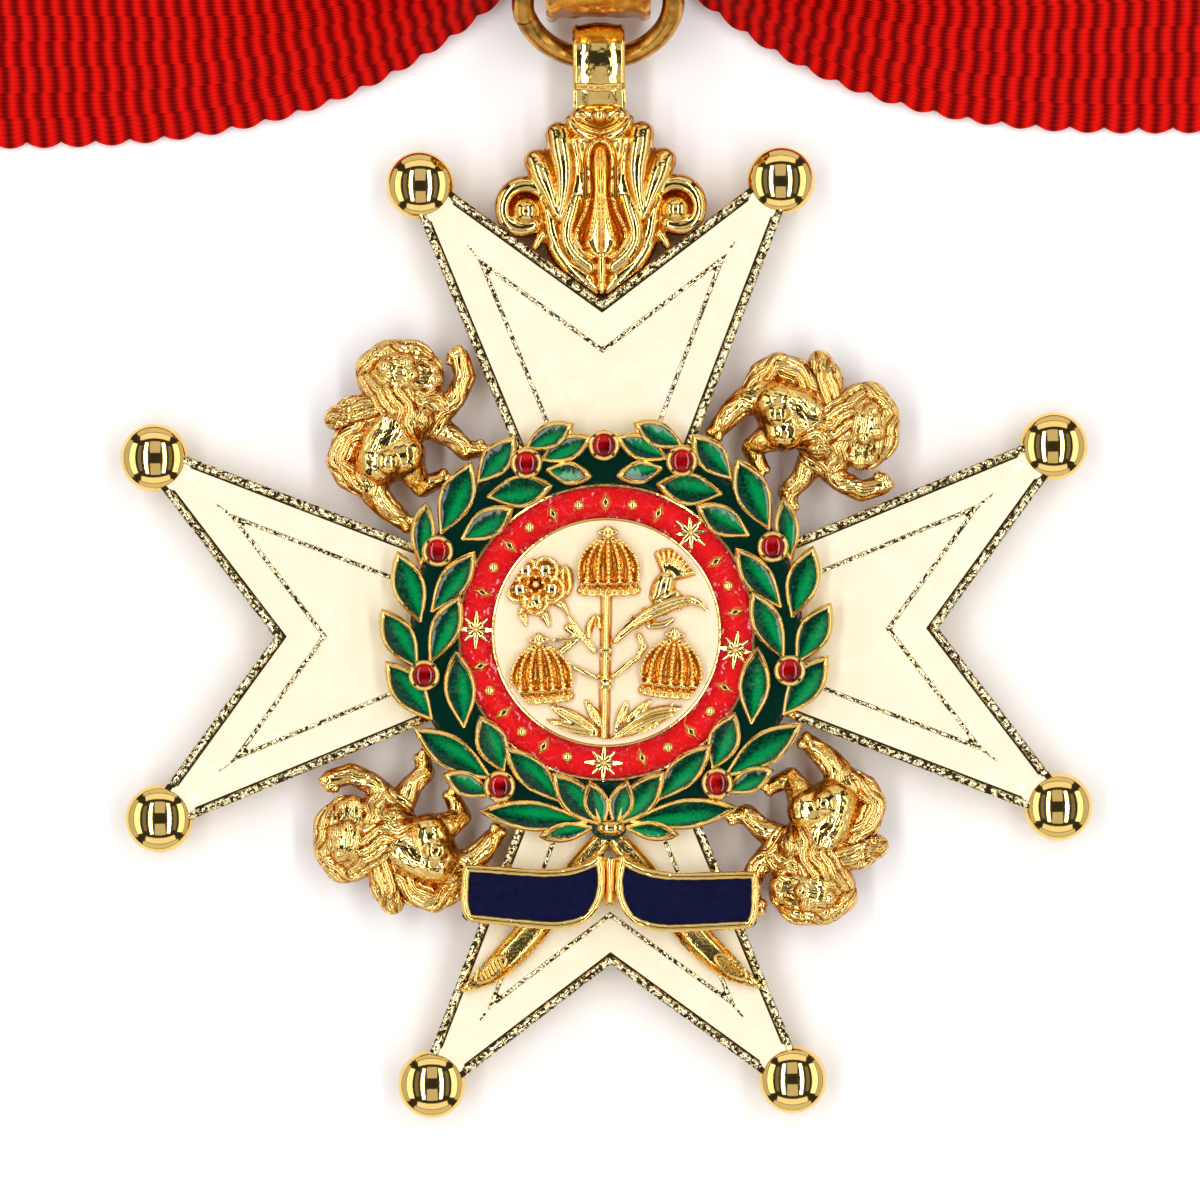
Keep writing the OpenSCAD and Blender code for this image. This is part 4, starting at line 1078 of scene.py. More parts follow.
def leaf_point(leaf, t, v, lift=0.0):
    """A point of a leaf: t runs from base to tip, v from edge to edge, -1 to 1."""
    base, tip, width = leaf
    ahead = (tip - base).normalized()
    side = Vector((ahead.y, -ahead.x, 0))
    half = width / 2 * max(math.sin(math.pi * t ** 1.1), 0.0)
    p = base.lerp(tip, t) + side * half * v
    p.z = LEAF_LOW + LEAF_RISE * t * t + lift
    return p


def leaf_block(leaf):
    """The gold under a leaf."""
    part = bmesh.new()
    bmesh.ops.create_grid(part, x_segments=14, y_segments=2, size=0.5)
    for corner in part.verts:
        corner.co = leaf_point(leaf, corner.co.x + 0.5, 2 * corner.co.y, -0.04)
    for corner in pulled_out(part):
        corner.co.z = MEDAL_Z
    return closed_up(part)


def leaf_wire(leaf):
    """The gold wall round a leaf, thickest at the tip."""
    steps = 13
    run = [leaf_point(leaf, i / steps, 1) for i in range(steps + 1)]
    run += [leaf_point(leaf, i / steps, -1) for i in range(steps - 1, -1, -1)]
    radii = [WIRE_R * (0.75 + 0.45 * (1 - abs(i / steps - 1)) ** 2) for i in range(len(run))]
    return tube(run, radii, 7, 1.15)


def leaf_pool(leaf):
    """The domed enamel of a leaf, with a painted highlight along a band beside its middle, darker towards
    its edges and ends.
    """
    part = bmesh.new()
    tone_and_painted_light = part.verts.layers.float.new("tone_and_painted_light")
    bmesh.ops.create_grid(part, x_segments=20, y_segments=10, size=0.5)
    for corner in part.verts:
        t, v = corner.co.x + 0.5, corner.co.y * 2
        round_top = (1 - abs(v) ** 2.4) * math.sin(math.pi * min(1, t * 1.05)) ** 0.6
        corner.co = leaf_point(leaf, 0.02 + 0.95 * t, 0.93 * v, 0.04 + 0.07 * round_top)
        # Painted highlight: bright in a band to one side of the middle, fading towards the base and the tip.
        corner[tone_and_painted_light] = 1.2 * bump(v, 0.3, 0.42) * (0.1 + 0.9 * math.sin(math.pi * min(1, t * 1.15)) ** 0.9)
    bmesh.ops.translate(part, vec=(0, 0, -POOL_T), verts=pulled_out(part))
    return closed_up(part)


# %% Wreath: ground, cups and rims
KNOT_Y = -1.052 * STEM_R
BERRY_R = 0.74
BERRY_FOOT = 4.5
BERRY_WAIST = 4.9
BERRY_RISE = 0.2
# Sections of the raised rings: distance from the ring's radius, and height
CUP_RIM = [(-0.02, 4.2), (-0.02, 5.0), (0.05, 5.14), (0.16, 5.2), (0.27, 5.14), (0.33, 4.98),
           (0.33, 4.1)]
CENTRE_RIM = [(-0.1, BASE_TOP), (-0.08, 4.58), (0.02, 4.66), (0.1, 4.64), (0.16, 4.5),
              (0.16, BASE_TOP)]
BAND_RIM = [(-0.12, BASE_TOP), (-0.1, 4.55), (0.02, 4.6), (0.12, 4.5), (0.14, BASE_TOP)]


def wreath_gold():
    """Everything of the wreath that is gold."""
    piece = bmesh.new()
    inner, outer = 0.01, STEM_R + 0.3 * LEAF_W
    join(piece, turned([(inner, MEDAL_Z), (outer, MEDAL_Z), (outer, BASE_TOP), (inner, BASE_TOP)],
                       96, ring=False))
    for leaf in all_leaves():
        join(piece, leaf_block(leaf))
        join(piece, leaf_wire(leaf))
    for angle in BERRY_ANGLES:
        cup = ring_of(BERRY_R, CUP_RIM, 40)
        bmesh.ops.translate(cup, vec=polar(angle, STEM_R), verts=cup.verts)
        join(piece, cup)
    join(piece, ring_of(CENTRE_R, CENTRE_RIM))
    join(piece, ring_of(BAND_R, BAND_RIM))
    return piece


def wreath_green():
    """Enamel of the leaves and of the ground between them."""
    piece = bmesh.new()
    piece.verts.layers.float.new("tone_and_painted_light")
    for leaf in all_leaves():
        join(piece, leaf_pool(leaf))
    ground = turned([(BAND_R + 0.05, BASE_TOP), (BAND_R + 0.1, 4.36), (BAND_R + 0.6, 4.44),
                     (STEM_R, 4.46), (STEM_R + 0.4, 4.4), (STEM_R + 0.55, BASE_TOP)], 96)
    join(piece, set_tone_and_painted_light(ground, lambda x, y: -0.35))
    under_knot = ball((0, KNOT_Y, BASE_TOP + 0.25), 1.2, 24, flat=0.45)
    bmesh.ops.scale(under_knot, vec=(1, 0.62, 1), space=Matrix.Translation((0, -KNOT_Y, 0)),
                    verts=under_knot.verts)
    join(piece, under_knot)
    return piece


def berries():
    """One polished red stone for each cup, with painted light: brightest on its side towards the top of the
    badge and shaded on its right.
    """
    inner = 0.001
    section = [(inner, BERRY_FOOT), (BERRY_R, BERRY_FOOT), (BERRY_R, BERRY_WAIST)]
    section += [(BERRY_R * math.cos(a), BERRY_WAIST + BERRY_RISE * math.sin(a))
                for a in [math.radians(d) for d in range(10, 90, 10)]]
    section.append((inner, BERRY_WAIST + BERRY_RISE))
    for number, angle in enumerate(BERRY_ANGLES, 1):
        piece = turned(section, 40, ring=False)
        # Painted light and shade: lighter towards the top of the badge, darker on the right.
        set_tone_and_painted_light(piece, lambda x, y: 0.3 + 0.65 * max(0, y / BERRY_R) - 0.25 * max(0, x / BERRY_R))
        bmesh.ops.translate(piece, vec=polar(angle, STEM_R), verts=piece.verts)
        finished(f"stone_{number}", piece, red_stone, [f"berry_{number}"])


finished("wreath_gold", wreath_gold(), line_gold, ["wreath"])
finished("wreath_green", wreath_green(), green_enamel, ["wreath_enamel"])
berries()

# %% [markdown]
# The red band. Plain lozenges and pellets stand between four little sprigs, a pattern as
# old as enamelled jewellery, raised in gold from the red.

# %% Red band and its ornament
# From sprig to sprig in degrees, and how many bosses stand between them
BAND_RUNS = [(49, 178, 9), (178, 268, 6), (268, 351.5, 5), (351.5, 409, 3)]
BAND_MID = (CENTRE_R + BAND_R) / 2
BAND_SPACE = BAND_R - CENTRE_R - 0.3
BOSS_Z = 4.6


def at_angle(part, degrees, r):
    """Puts a part drawn at the origin onto the band, facing outwards."""
    bmesh.ops.translate(part, vec=(r, 0, 0), verts=part.verts)
    return turn(part, degrees)


def lozenge():
    """A four-sided boss with hollow flanks."""
    part = bmesh.new()
    bmesh.ops.create_cone(part, cap_ends=True, segments=4, radius1=0.32 * BAND_SPACE,
                          radius2=0.13 * BAND_SPACE, depth=0.34,
                          matrix=Matrix.Translation((0, 0, BOSS_Z)))
    bmesh.ops.scale(part, vec=(1.25, 0.72, 1), verts=part.verts)
    bmesh.ops.bevel(part, geom=part.edges[:], offset=0.04, segments=2, profile=0.5,
                    affect="EDGES", material=-1)
    return part


def pellet():
    """A low round boss."""
    return ball((0, 0, BOSS_Z - 0.1), 0.19 * BAND_SPACE, 18, flat=0.9)


def sprig():
    """A small sprig: eight pointed petals round a seed, every other one shorter."""
    part = bmesh.new()
    heart = Vector((0, 0, BOSS_Z + 0.02))
    for k in range(8):
        a = math.radians(45 * k)
        reach = 0.62 * BAND_SPACE * (1.0 if k % 2 == 0 else 0.82)
        tip = Vector((math.cos(a) * reach, math.sin(a) * reach, BOSS_Z - 0.08))
        join(part, tube([heart, (heart + tip) / 2, tip], [0.1, 0.2, 0.07], 6, 0.7))
    join(part, ball((0, 0, BOSS_Z + 0.06), 0.24, 12))
    return part


def band_gold():
    """The ornament of the band."""
    piece = bmesh.new()
    for start, end, count in BAND_RUNS:
        join(piece, at_angle(sprig(), start, BAND_MID))
        for i in range(1, count + 1):
            angle = start + (end - start) * (i + 0.4) / (count + 1.8)
            join(piece, at_angle(lozenge() if i % 2 else pellet(), angle, BAND_MID))
    return piece


def band_red():
    """The red enamel, a little hollow between its rims."""
    piece = turned([(CENTRE_R - 0.05, BASE_TOP), (CENTRE_R - 0.02, 4.5), (CENTRE_R + 0.25, 4.47),
                    (BAND_MID, 4.45), (BAND_R - 0.3, 4.47), (BAND_R - 0.08, 4.5),
                    (BAND_R - 0.08, BASE_TOP)], 120)

    # Its tone is brighter along the middle of the band and darker towards both rims.
    def tone_and_painted_light(x, y):
        return 1.15 - 0.9 * (abs(math.hypot(x, y) - BAND_MID) / (0.5 * BAND_SPACE)) ** 4
    return set_tone_and_painted_light(piece, tone_and_painted_light)


def cream_edge():
    """The cream field's edge, which creeps up to the gold line round it."""
    return ring_of(CENTRE_R, [(-0.55, BASE_TOP), (-0.55, FIELD_TOP), (-0.4, FIELD_TOP + 0.02),
                              (0, FIELD_TOP + 0.06), (0, BASE_TOP)])


finished("cream_edge", cream_edge(), cream_enamel)
finished("band_red", band_red(), red_enamel, ["band_enamel"])
finished("band_ornament", band_gold(), line_gold)

# %% [markdown]
# The scroll and the tie. The outline is a short table of shares, rounded by cutting its
# corners, and the gold lip is a wire run round it. The fields inside are grids that are
# stretched between the upper and the lower half of the same outline. That is safer than
# one many-sided face, which folds over itself where an outline is hollow.

# %% Scroll
SCROLL_L = 20.0
SCROLL_H = 3.75
SCROLL_SLOPE = math.radians(-2.1)
SCROLL_LOW = 4.32
SCROLL_FLOOR = 4.87
SCROLL_LIP = 0.29
SCROLL_CORNER = 0.7
PILLAR_W = 0.74
PILLAR_MID = 1.05
PILLAR_REACH = 0.43 * SCROLL_H
PILLAR_DOME = 0.36
# Shares of the length outwards from the pillar and of the height up from the middle
HALF_SCROLL = [
    (0.03, 0.8), (0.075, 0.68), (0.2, 0.53), (0.37, 0.46), (0.6, 0.48), (0.95, 0.53), (1, 0.5),
    (1, -0.48), (0.82, -0.52), (0.6, -0.56), (0.36, -0.6), (0.23, -0.56), (0.12, -0.46), (0.04, -0.22),
    (0, 0.1), (0, 0.45),
]


def on_scroll(part):
    """Turns a part drawn at the origin to the scroll's slope and moves it there."""
    lean = Matrix.Rotation(SCROLL_SLOPE, 4, "Z")
    bmesh.ops.transform(part, matrix=Matrix.Translation(SCROLL_MID) @ lean, verts=part.verts)
    return part


def scroll_path(side, inset):
    """The outline of half a scroll, drawn in by an inset."""
    half = (SCROLL_L - PILLAR_W) / 2
    corners = [Vector((side * (PILLAR_W / 2 + x * half), y * SCROLL_H, 0)) for x, y in HALF_SCROLL]
    path = along(smooth_path(corners, 2, closed=True), 0.2)
    area = sum(a.cross(b).z for a, b in zip(path, path[1:] + path[:1]))
    handed = math.copysign(1, area)
    found = []
    for i, p in enumerate(path):
        ahead = (path[(i + 1) % len(path)] - path[i - 1]).normalized()
        found.append(p + Vector((-ahead.y, ahead.x, 0)) * handed * inset)
    return found


def filled(side, inset, low, high):
    """A plate that fills half a scroll."""
    half = (SCROLL_L - PILLAR_W) / 2
    upper, lower = HALF_SCROLL[:6], HALF_SCROLL[8:15][::-1]

    def place(u, v):
        share = (inset + u * (half - 2 * inset)) / half
        top = np.interp(share, [x for x, _ in upper], [y for _, y in upper]) * SCROLL_H - inset
        bottom = np.interp(share, [x for x, _ in lower], [y for _, y in lower]) * SCROLL_H + inset
        near_end = max(0.0, SCROLL_CORNER - (1 - share) * half)
        cut = SCROLL_CORNER - math.sqrt(SCROLL_CORNER ** 2 - near_end ** 2)
        top, bottom = top - cut, bottom + cut
        return Vector((side * (PILLAR_W / 2 + share * half), bottom + (top - bottom) * v, high))
    return patch(60, 10, place, high - low)


def scroll_gold():
    """Back plate, lip and pillar."""
    piece = bmesh.new()
    for side in (1, -1):
        join(piece, filled(side, 0.1, SCROLL_LOW, SCROLL_FLOOR + 0.1))
        lip = scroll_path(side, SCROLL_LIP - 0.04)
        lip = [p + Vector((0, 0, SCROLL_FLOOR + 0.3)) for p in lip]
        join(piece, tube(lip, rough_radii(lip, SCROLL_LIP, 0.2, side), 10, 1.05, closed=True))

    def pillar(u, v):
        high = 2 * v - 1
        half = 0.42 + 0.14 * max(high, 0) ** 1.6 - 0.12 * max(-high, 0) ** 3
        dome = PILLAR_DOME * math.sin(math.pi * u) * (1 - 0.6 * high ** 4)
        return Vector(((2 * u - 1) * half, PILLAR_MID + high * PILLAR_REACH, SCROLL_FLOOR + dome))
    join(piece, patch(12, 30, pillar, 0.5))
    return on_scroll(piece)


def scroll_blue(side):
    """The blue of half a scroll."""
    piece = filled(side, 0.3, SCROLL_FLOOR, SCROLL_FLOOR + 0.26)
    return on_scroll(set_tone_and_painted_light(piece, lambda x, y: 0.5))


finished("scroll_gold", scroll_gold(), cast_gold, ["scroll_frame"])
finished("scroll_blue_left", scroll_blue(-1), blue_enamel, ["scroll_enamel_left"])
finished("scroll_blue_right", scroll_blue(1), blue_enamel, ["scroll_enamel_right"])

# %% [markdown]
# The tie is two gold ribbons that hang from the knot, run behind the scroll and end in
# slanting points. Each is a strip that is hollow between raised edges, with a long bead
# framed in wire near its end.

# %% Tie and knot
TIE_TOP = MEDAL_Z + 0.9
BEAD = (0.6, 0.87)  # where the long bead lies, as shares of the streamer's length
BEAD_ROUND = (1.25, 0.5)
# Middle line as shares of the berry circle, and half width in millimetres
TIE_LINE = [(0.02, -1.09, 0.55), (0.11, -1.19, 0.82), (0.25, -1.38, 1.0), (0.42, -1.6, 1.05),
            (0.59, -1.77, 0.95), (0.7, -1.85, 0.6), (0.8, -1.905, 0.12)]


def tie_strip(side):
    """One streamer."""
    line = smooth_path([Vector((side * x * STEM_R, y * STEM_R, w)) for x, y, w in TIE_LINE], 2)
    last = len(line) - 1

    def at(u):
        s = u * last
        i = min(int(s), last - 1)
        p = line[i].lerp(line[i + 1], s - i)
        ahead = (line[i + 1] - line[i]).to_2d().normalized()
        return p, Vector((ahead.y, -ahead.x, 0))

    def place(u, v):
        p, out = at(u)
        across = 2 * v - 1
        edge = bump(abs(across), 0.86, 0.16)
        lumps = 0.035 * noise.noise(Vector((p.x * 3, p.y * 3, across * 2)))
        z = TIE_TOP - 0.34 + 0.28 * edge + 0.1 * (1 - across ** 2) * math.sin(9 * u) + lumps
        return Vector((p.x, p.y, 0)) + out * across * p.z + Vector((0, 0, min(z, TIE_TOP)))
    part = patch(64, 14, place, 0.5)
    start, end = [at(share)[0] for share in BEAD]
    middle = (start + end) / 2
    ahead = (end - start).to_2d().normalized()
    to_bead = Matrix.Translation((middle.x, middle.y, TIE_TOP - 0.1))
    to_bead = to_bead @ Matrix.Rotation(math.atan2(ahead.y, ahead.x), 4, "Z")
    frame_wire = [to_bead @ Vector((BEAD_ROUND[0] * math.cos(a), BEAD_ROUND[1] * math.sin(a), 0))
                  for a in [2 * math.pi * k / 36 for k in range(36)]]
    join(part, tube(frame_wire, 0.1, 6, closed=True))
    for k in range(7):
        x = -0.85 + 0.28 * k
        half = 0.36 * math.sqrt(max(0.05, 1 - (x / 1.2) ** 2))
        bar = [to_bead @ Vector((x + side_step * 0.08, side_step * half, -0.04))
               for side_step in (-1, 1)]
        join(part, tube(bar, 0.09, 5))
    return part


def knot():
    """The little gold button over the crossing."""
    part = bmesh.new()
    place = Matrix.Translation((0.12, KNOT_Y + 0.12, BASE_TOP + 0.5))
    bmesh.ops.create_uvsphere(part, u_segments=32, v_segments=16, radius=1,
                              matrix=place @ Matrix.Diagonal((0.98, 0.56, 0.62, 1)))
    return part


for side, name in ((-1, "left"), (1, "right")):
    finished("streamer_" + name, tie_strip(side), grained_gold, ["tie_ribbon_" + name])
finished("tie_knot", knot(), cast_gold)

# %% [markdown]
# The cast leaf above the cross. It is a relief, so it is worked as one: a fine grid is
# laid flat and each of its points is lifted to the highest of the round ridges that cross
# it there. Ridges are rows of joints with a reach and a crest, like sausages of wax, and
# grooves are cut out of them in the same way. A goldsmith's chaser would go about it in
# the same order: mass first, then the furrows.

# %% Leaf mount: the table of its ridges
# Every row is a ridge of one half, and its joints are
# (distance from the axis, distance from the middle of the cross, half width, crest)
MOUNT_RIDGES = [
    # ground between the lobes
    [(0.9, 33.4, 1.6, 3.6), (1.6, 32, 2.1, 3.8), (1.9, 30, 2.2, 3.85), (1.7, 28, 2.2, 3.7),
     (1.3, 26, 2, 3.4), (0.5, 24.4, 1.3, 3.1)],
    [(2.6, 31.8, 1.5, 3.75), (3.3, 30.2, 1.5, 3.8), (3.4, 28.2, 1.2, 3.5)],
    [(3.6, 28.6, 0.9, 3.4), (4.9, 28.6, 1.8, 3.5)],
    # upper lobe
    [(2.85, 33.65, 0.86, 4.1), (2.68, 32.7, 0.9, 4.45), (2.4, 31.2, 0.74, 4.5), (2.5, 29.6, 0.5, 4.35),
     (2.85, 28, 0.26, 4)],
    # side lobe
    [(4.3, 31.85, 0.88, 3.9), (4, 31, 0.86, 4.3), (3.5, 29.9, 0.62, 4.35), (2.98, 28.3, 0.3, 4.05)],
    # outer stem, which grows into the volute
    [(2.2, 25.2, 0.6, 3.2), (3.2, 26.7, 0.6, 3.5), (3.4, 28.1, 0.5, 3.65), (3.75, 29.4, 0.5, 3.9),
     (4.6, 30.25, 0.62, 4.05), (5.6, 30.2, 0.72, 4.1), (6.35, 29.55, 0.72, 4.05), (6.6, 28.5, 0.66, 3.95),
     (6.2, 27.65, 0.66, 3.8), (5.4, 27.35, 0.7, 3.75), (4.6, 27.6, 0.6, 3.7)],
    # fold that holds the tongue's foot
    [(1.72, 29.3, 0.58, 3.9), (1.98, 28.4, 0.56, 4.2), (2.35, 27.3, 0.52, 4.3), (2.3, 26.3, 0.5, 4.15),
     (1.7, 25.4, 0.55, 3.95), (0.8, 24.7, 0.55, 3.75)],
    # wing under the fold
    [(3.2, 27.2, 0.5, 3.3), (3.1, 26.4, 0.85, 3.35), (2.2, 25.1, 0.95, 3.45), (1.2, 24.1, 0.8, 3.4),
     (0.45, 23.2, 0.5, 3.15)],
    # small lobe under the volute
    [(3.6, 27.4, 0.25, 3), (4.2, 26.6, 0.36, 3.15), (4.5, 26.1, 0.26, 2.95)],
    # thin reeds beside the tongue
    [(1.75, 33.3, 0.2, 3.85), (1.52, 32, 0.22, 3.9), (1.42, 30.4, 0.2, 3.85), (1.3, 29.7, 0.12, 3.6)],
    [(1.2, 33.1, 0.16, 3.7), (1.12, 31.6, 0.16, 3.75), (1.05, 30.2, 0.14, 3.7)],
    # dome over the tongue
    [(0, 34.7, 1.2, 4.2), (0.9, 34.65, 1.15, 4.1)],
    # shoulder under its lip
    [(0, 33.35, 0.45, 3.9), (0.9, 33.6, 0.5, 3.9), (1.7, 34.1, 0.5, 3.75), (2.05, 34.7, 0.3, 3.4)],
    # raised lip
    [(0, 33.7, 0.2, 4.25), (0.8, 33.9, 0.2, 4.22), (1.4, 34.3, 0.18, 4.1), (1.85, 34.85, 0.12, 3.8)],
]
# Ridges on the axis: the tongue, its wire-like edge, the rib under it and the dome's bead
TONGUE_RIDGES = [
    [(0, 32.5, 0.85, 4.05), (0, 31, 0.8, 4.15), (0, 29.4, 0.72, 4.15), (0, 28, 1.15, 4.15),
     (0, 26.8, 1.65, 4.1), (0, 26.2, 1.1, 4)],
    [(0, 33.2, 0.18, 4.4), (0.5, 33, 0.18, 4.4), (0.82, 32.3, 0.18, 4.42), (0.8, 31, 0.17, 4.42),
     (0.72, 29.6, 0.16, 4.4), (1, 28.4, 0.16, 4.35), (1.55, 27.4, 0.17, 4.3), (1.72, 26.5, 0.17, 4.2),
     (1.3, 25.7, 0.17, 4.1), (0.5, 25.3, 0.15, 4)],
    [(0, 32.4, 0.12, 4.3), (0, 29, 0.12, 4.36), (0, 26, 0.14, 4.3)],
    [(0.32, 32.3, 0.08, 4.22), (0.3, 29.6, 0.08, 4.25), (0.55, 27.8, 0.09, 4.25), (0.85, 26.6, 0.09, 4.2)],
    [(0, 25.2, 0.3, 3.9), (0, 24.3, 0.34, 3.95), (0, 23, 0.22, 3.5)],
    [(0, 34.85, 0.46, 4.62)],
]
# Grooves: distance from the axis, distance from the middle, half width, depth
MOUNT_GROOVES = [
    # hollow over the lip
    [(0, 34.1, 0.2, 0.3), (0.8, 34.3, 0.24, 0.35), (1.3, 34.75, 0.24, 0.3)],
    # round the tongue, inside its edge
    [(0, 32.9, 0.1, 0.25), (0.45, 32.7, 0.1, 0.25), (0.58, 32, 0.1, 0.25), (0.56, 30.5, 0.1, 0.25),
     (0.5, 29.4, 0.08, 0.2), (0.8, 28.2, 0.1, 0.22), (1.25, 27.2, 0.12, 0.28), (1.3, 26.4, 0.12, 0.25)],
    # slit between the volute and its ball
    [(6, 28.35, 0.13, 0.9), (6, 28.95, 0.16, 0.9), (5.6, 29.5, 0.16, 0.9), (4.9, 29.62, 0.14, 0.8),
     (4.3, 29.35, 0.12, 0.5)],
]
VOLUTE_BALL = [(5.05, 28.5, 1.02, 4.3)]
MOUNT_STEP = 0.075
MOUNT_ROOM = ((-7.6, 22.2), (7.6, 36.2))
NEARLY = 1e-6


def span_to(x, y, a, b):
    """Distance to the line between two joints, and the reach and height of the nearest point."""
    ahead = np.array((b[0] - a[0], b[1] - a[1]))
    t = ((x - a[0]) * ahead[0] + (y - a[1]) * ahead[1]) / max(float(ahead @ ahead), NEARLY)
    t = np.clip(t, 0, 1)
    gap = np.hypot(x - a[0] - t * ahead[0], y - a[1] - t * ahead[1])
    return gap, a[2] + t * (b[2] - a[2]), a[3] + t * (b[3] - a[3])


def rounded_joints(joints):
    """Cuts the corners off a row of joints, so that it bends smoothly."""
    if len(joints) < 3:
        return joints
    return [tuple(p) for p in smooth_path([Vector(j) for j in joints], 2)]


def raise_ridge(x, y, height, joints, roundness=1.0):
    """Lifts the surface to a round ridge where the ridge is higher."""
    joints = rounded_joints(joints)
    for a, b in zip(joints, joints[1:] or joints):
        gap, reach, crest = span_to(x, y, a, b)
        arch = np.sqrt(np.clip(1 - (gap / reach) ** 2, 0, 1))
        ridge = crest - roundness * reach * (1 - arch)
        height = np.where(gap < reach, np.maximum(height, ridge), height)
    return height


def cut_groove(x, y, height, joints):
    """Sinks a soft furrow along a row of joints."""
    joints = rounded_joints(joints)
    sunk = np.zeros_like(height)
    for a, b in zip(joints, joints[1:] or joints):
        gap, reach, depth = span_to(x, y, a, b)
        sunk = np.maximum(sunk, depth * np.exp(-(gap / reach) ** 2))
    return height - sunk


def softened(height, mask, rounds):
    """Blurs a height field inside its outline."""
    for _ in range(rounds):
        total, weight = height * mask, mask.astype(float)
        for axis in (0, 1):
            for step in (1, -1):
                total = total + np.roll(height * mask, step, axis)
                weight = weight + np.roll(mask, step, axis)
        height = np.where(mask, total / np.maximum(weight, 1), height)
    return height


# %% [markdown]
# The grid is square, so its cut edge would look like stairs. The points on that edge are
# smoothed along it once the faces outside the leaf are gone, and then the whole sheet is
# extruded to a flat back. The leaf ends where the fork of the cross begins.

# %% Leaf mount: the relief
NO_METAL = -1.0
HOLLOW_ROUNDS = 12
HOLLOW_DEPTH = 30
STEEP_SHADE = 10
EDGE_ROUNDS = 6


def leaf_heights(x, y):
    """Heights of the leaf over a grid of places, and where it has metal at all."""
    out = np.abs(x)
    height = np.full_like(x, NO_METAL)
    for joints in MOUNT_RIDGES:
        height = raise_ridge(out, y, height, joints)
    for joints in TONGUE_RIDGES:
        height = raise_ridge(out, y, height, joints, 0.7)
    for joints in MOUNT_GROOVES:
        height = cut_groove(out, y, height, joints)
    height = raise_ridge(out, y, height, VOLUTE_BALL, 1.2)
    point, ahead, into = NOTCH_EDGE
    above_notch = (out - point.x) * -into.x + (y - point.y) * -into.y > 0.1
    return height, (height > 0) & above_notch


def relief(low, high, step, heights, back):
    """A closed relief over a rectangle, with a mask of painted shade: how deep each point lies in a hollow,
    and how steep it is.
    """
    nu, nv = int((high[0] - low[0]) / step), int((high[1] - low[1]) / step)
    us, vs = np.meshgrid(np.linspace(low[0], high[0], nu + 1), np.linspace(low[1], high[1], nv + 1))
    height, metal = heights(us, vs)
    height = softened(height, metal, 1)
    # Painted shade: amber goes into the hollows and onto the steep slopes.
    hollow = (softened(height, metal, HOLLOW_ROUNDS) - height) / (HOLLOW_DEPTH * step * step)
    slope = np.hypot(*np.gradient(np.where(metal, height, back), step))
    hollow = np.clip(hollow + STEEP_SHADE / HOLLOW_DEPTH * np.clip(slope - 0.5, 0, 1.5), 0, 1)
    part = bmesh.new()
    painted_shade = part.verts.layers.float.new("painted_shade")
    bmesh.ops.create_grid(part, x_segments=nu, y_segments=nv, size=0.5)
    outside = []
    for corner in part.verts:
        i, j = round((corner.co.x + 0.5) * nu), round((corner.co.y + 0.5) * nv)
        corner.co = (us[j, i], vs[j, i], height[j, i])
        corner[painted_shade] = hollow[j, i]
        if not metal[j, i]:
            outside.append(corner)
    bmesh.ops.delete(part, geom=outside, context="VERTS")
    round_edge(part)
    # Its sides, down to the flat back, get painted shade as well.
    for corner in pulled_out(part):
        corner.co.z = back
        corner[painted_shade] = 0.9
    bmesh.ops.recalc_face_normals(part, faces=part.faces)
    return part


def round_edge(part):
    """Smooths a cut edge along itself."""
    rim = [v for v in part.verts if sum(e.is_boundary for e in v.link_edges) == 2]
    for _ in range(EDGE_ROUNDS):
        moved = {v: sum((e.other_vert(v).co for e in v.link_edges if e.is_boundary), Vector()) / 2
                 for v in rim}
        for v, place in moved.items():
            v.co = v.co.lerp(place, 0.5)


# %% [markdown]
# The bail is a strap that loops over the ring. Its edges stand up a little, and its front
# steps out where the strap is bent back.

# %% Bail, ring and keeper
LEAF_BACK = 0.5
BAIL_W = 3.5
BAIL_T = 0.5
# Side view of the strap: distance from the middle of the cross, and height
BAIL_SIDE = [(35.4, 3.5), (36.1, 3.7), (36.75, 3.85), (36.9, 4.1), (37.1, 4.2), (38.0, 4.5),
             (38.9, 4.62), (39.9, 4.55), (40.6, 4.15), (41, 3.4), (41.08, 2.5), (40.8, 1.5),
             (40, 0.75), (38.8, 0.45), (37.4, 0.6), (36, 0.8)]
BAIL_MID = Vector((0, 38.6, 2.6))
RING_R = 5.06
RING_WIRE = 0.74
RING_CUT = 194
RING_OPEN = 0.012  # share of the turn that is missing at the cut
RING_SPRING = 0.34
RING_LEAN = 45
RING_MID = Vector((0, 42.31, 5.88))


def bail():
    """The strap, with a rim along each edge."""
    side_view = smooth_path([Vector((0, y, z)) for y, z in BAIL_SIDE], 2)
    run = along(side_view, 0.12)

    def place(u, v):
        p = run[min(round(u * (len(run) - 1)), len(run) - 1)]
        across = 2 * v - 1
        rim = bump(abs(across), 0.88, 0.09)
        bow = 0.3 * (1 - across ** 2)
        out = (p - BAIL_MID).normalized()
        lumps = 0.02 * noise.noise(Vector((across * 6, p.y * 5, 3.0)))
        q = p + out * (0.13 * rim + bow - 0.12 + lumps)
        q.x = across * BAIL_W / 2
        return q
    return thickened(patch(len(run) - 1, 26, place), BAIL_T)


def jump_ring():
    """A ring of round wire with its cut a little open and out of line."""
    lean = Matrix.Rotation(math.radians(RING_LEAN), 4, "X")
    steps = 96
    path = []
    for i in range(steps + 1):
        share = i / steps
        a = math.radians(RING_CUT) + 2 * math.pi * (RING_OPEN / 2 + (1 - RING_OPEN) * share)
        round_ring = Vector((RING_R * math.cos(a), RING_R * math.sin(a), RING_SPRING * (share - 0.5)))
        path.append(RING_MID + lean @ round_ring)
    return tube(path, RING_WIRE, 20)


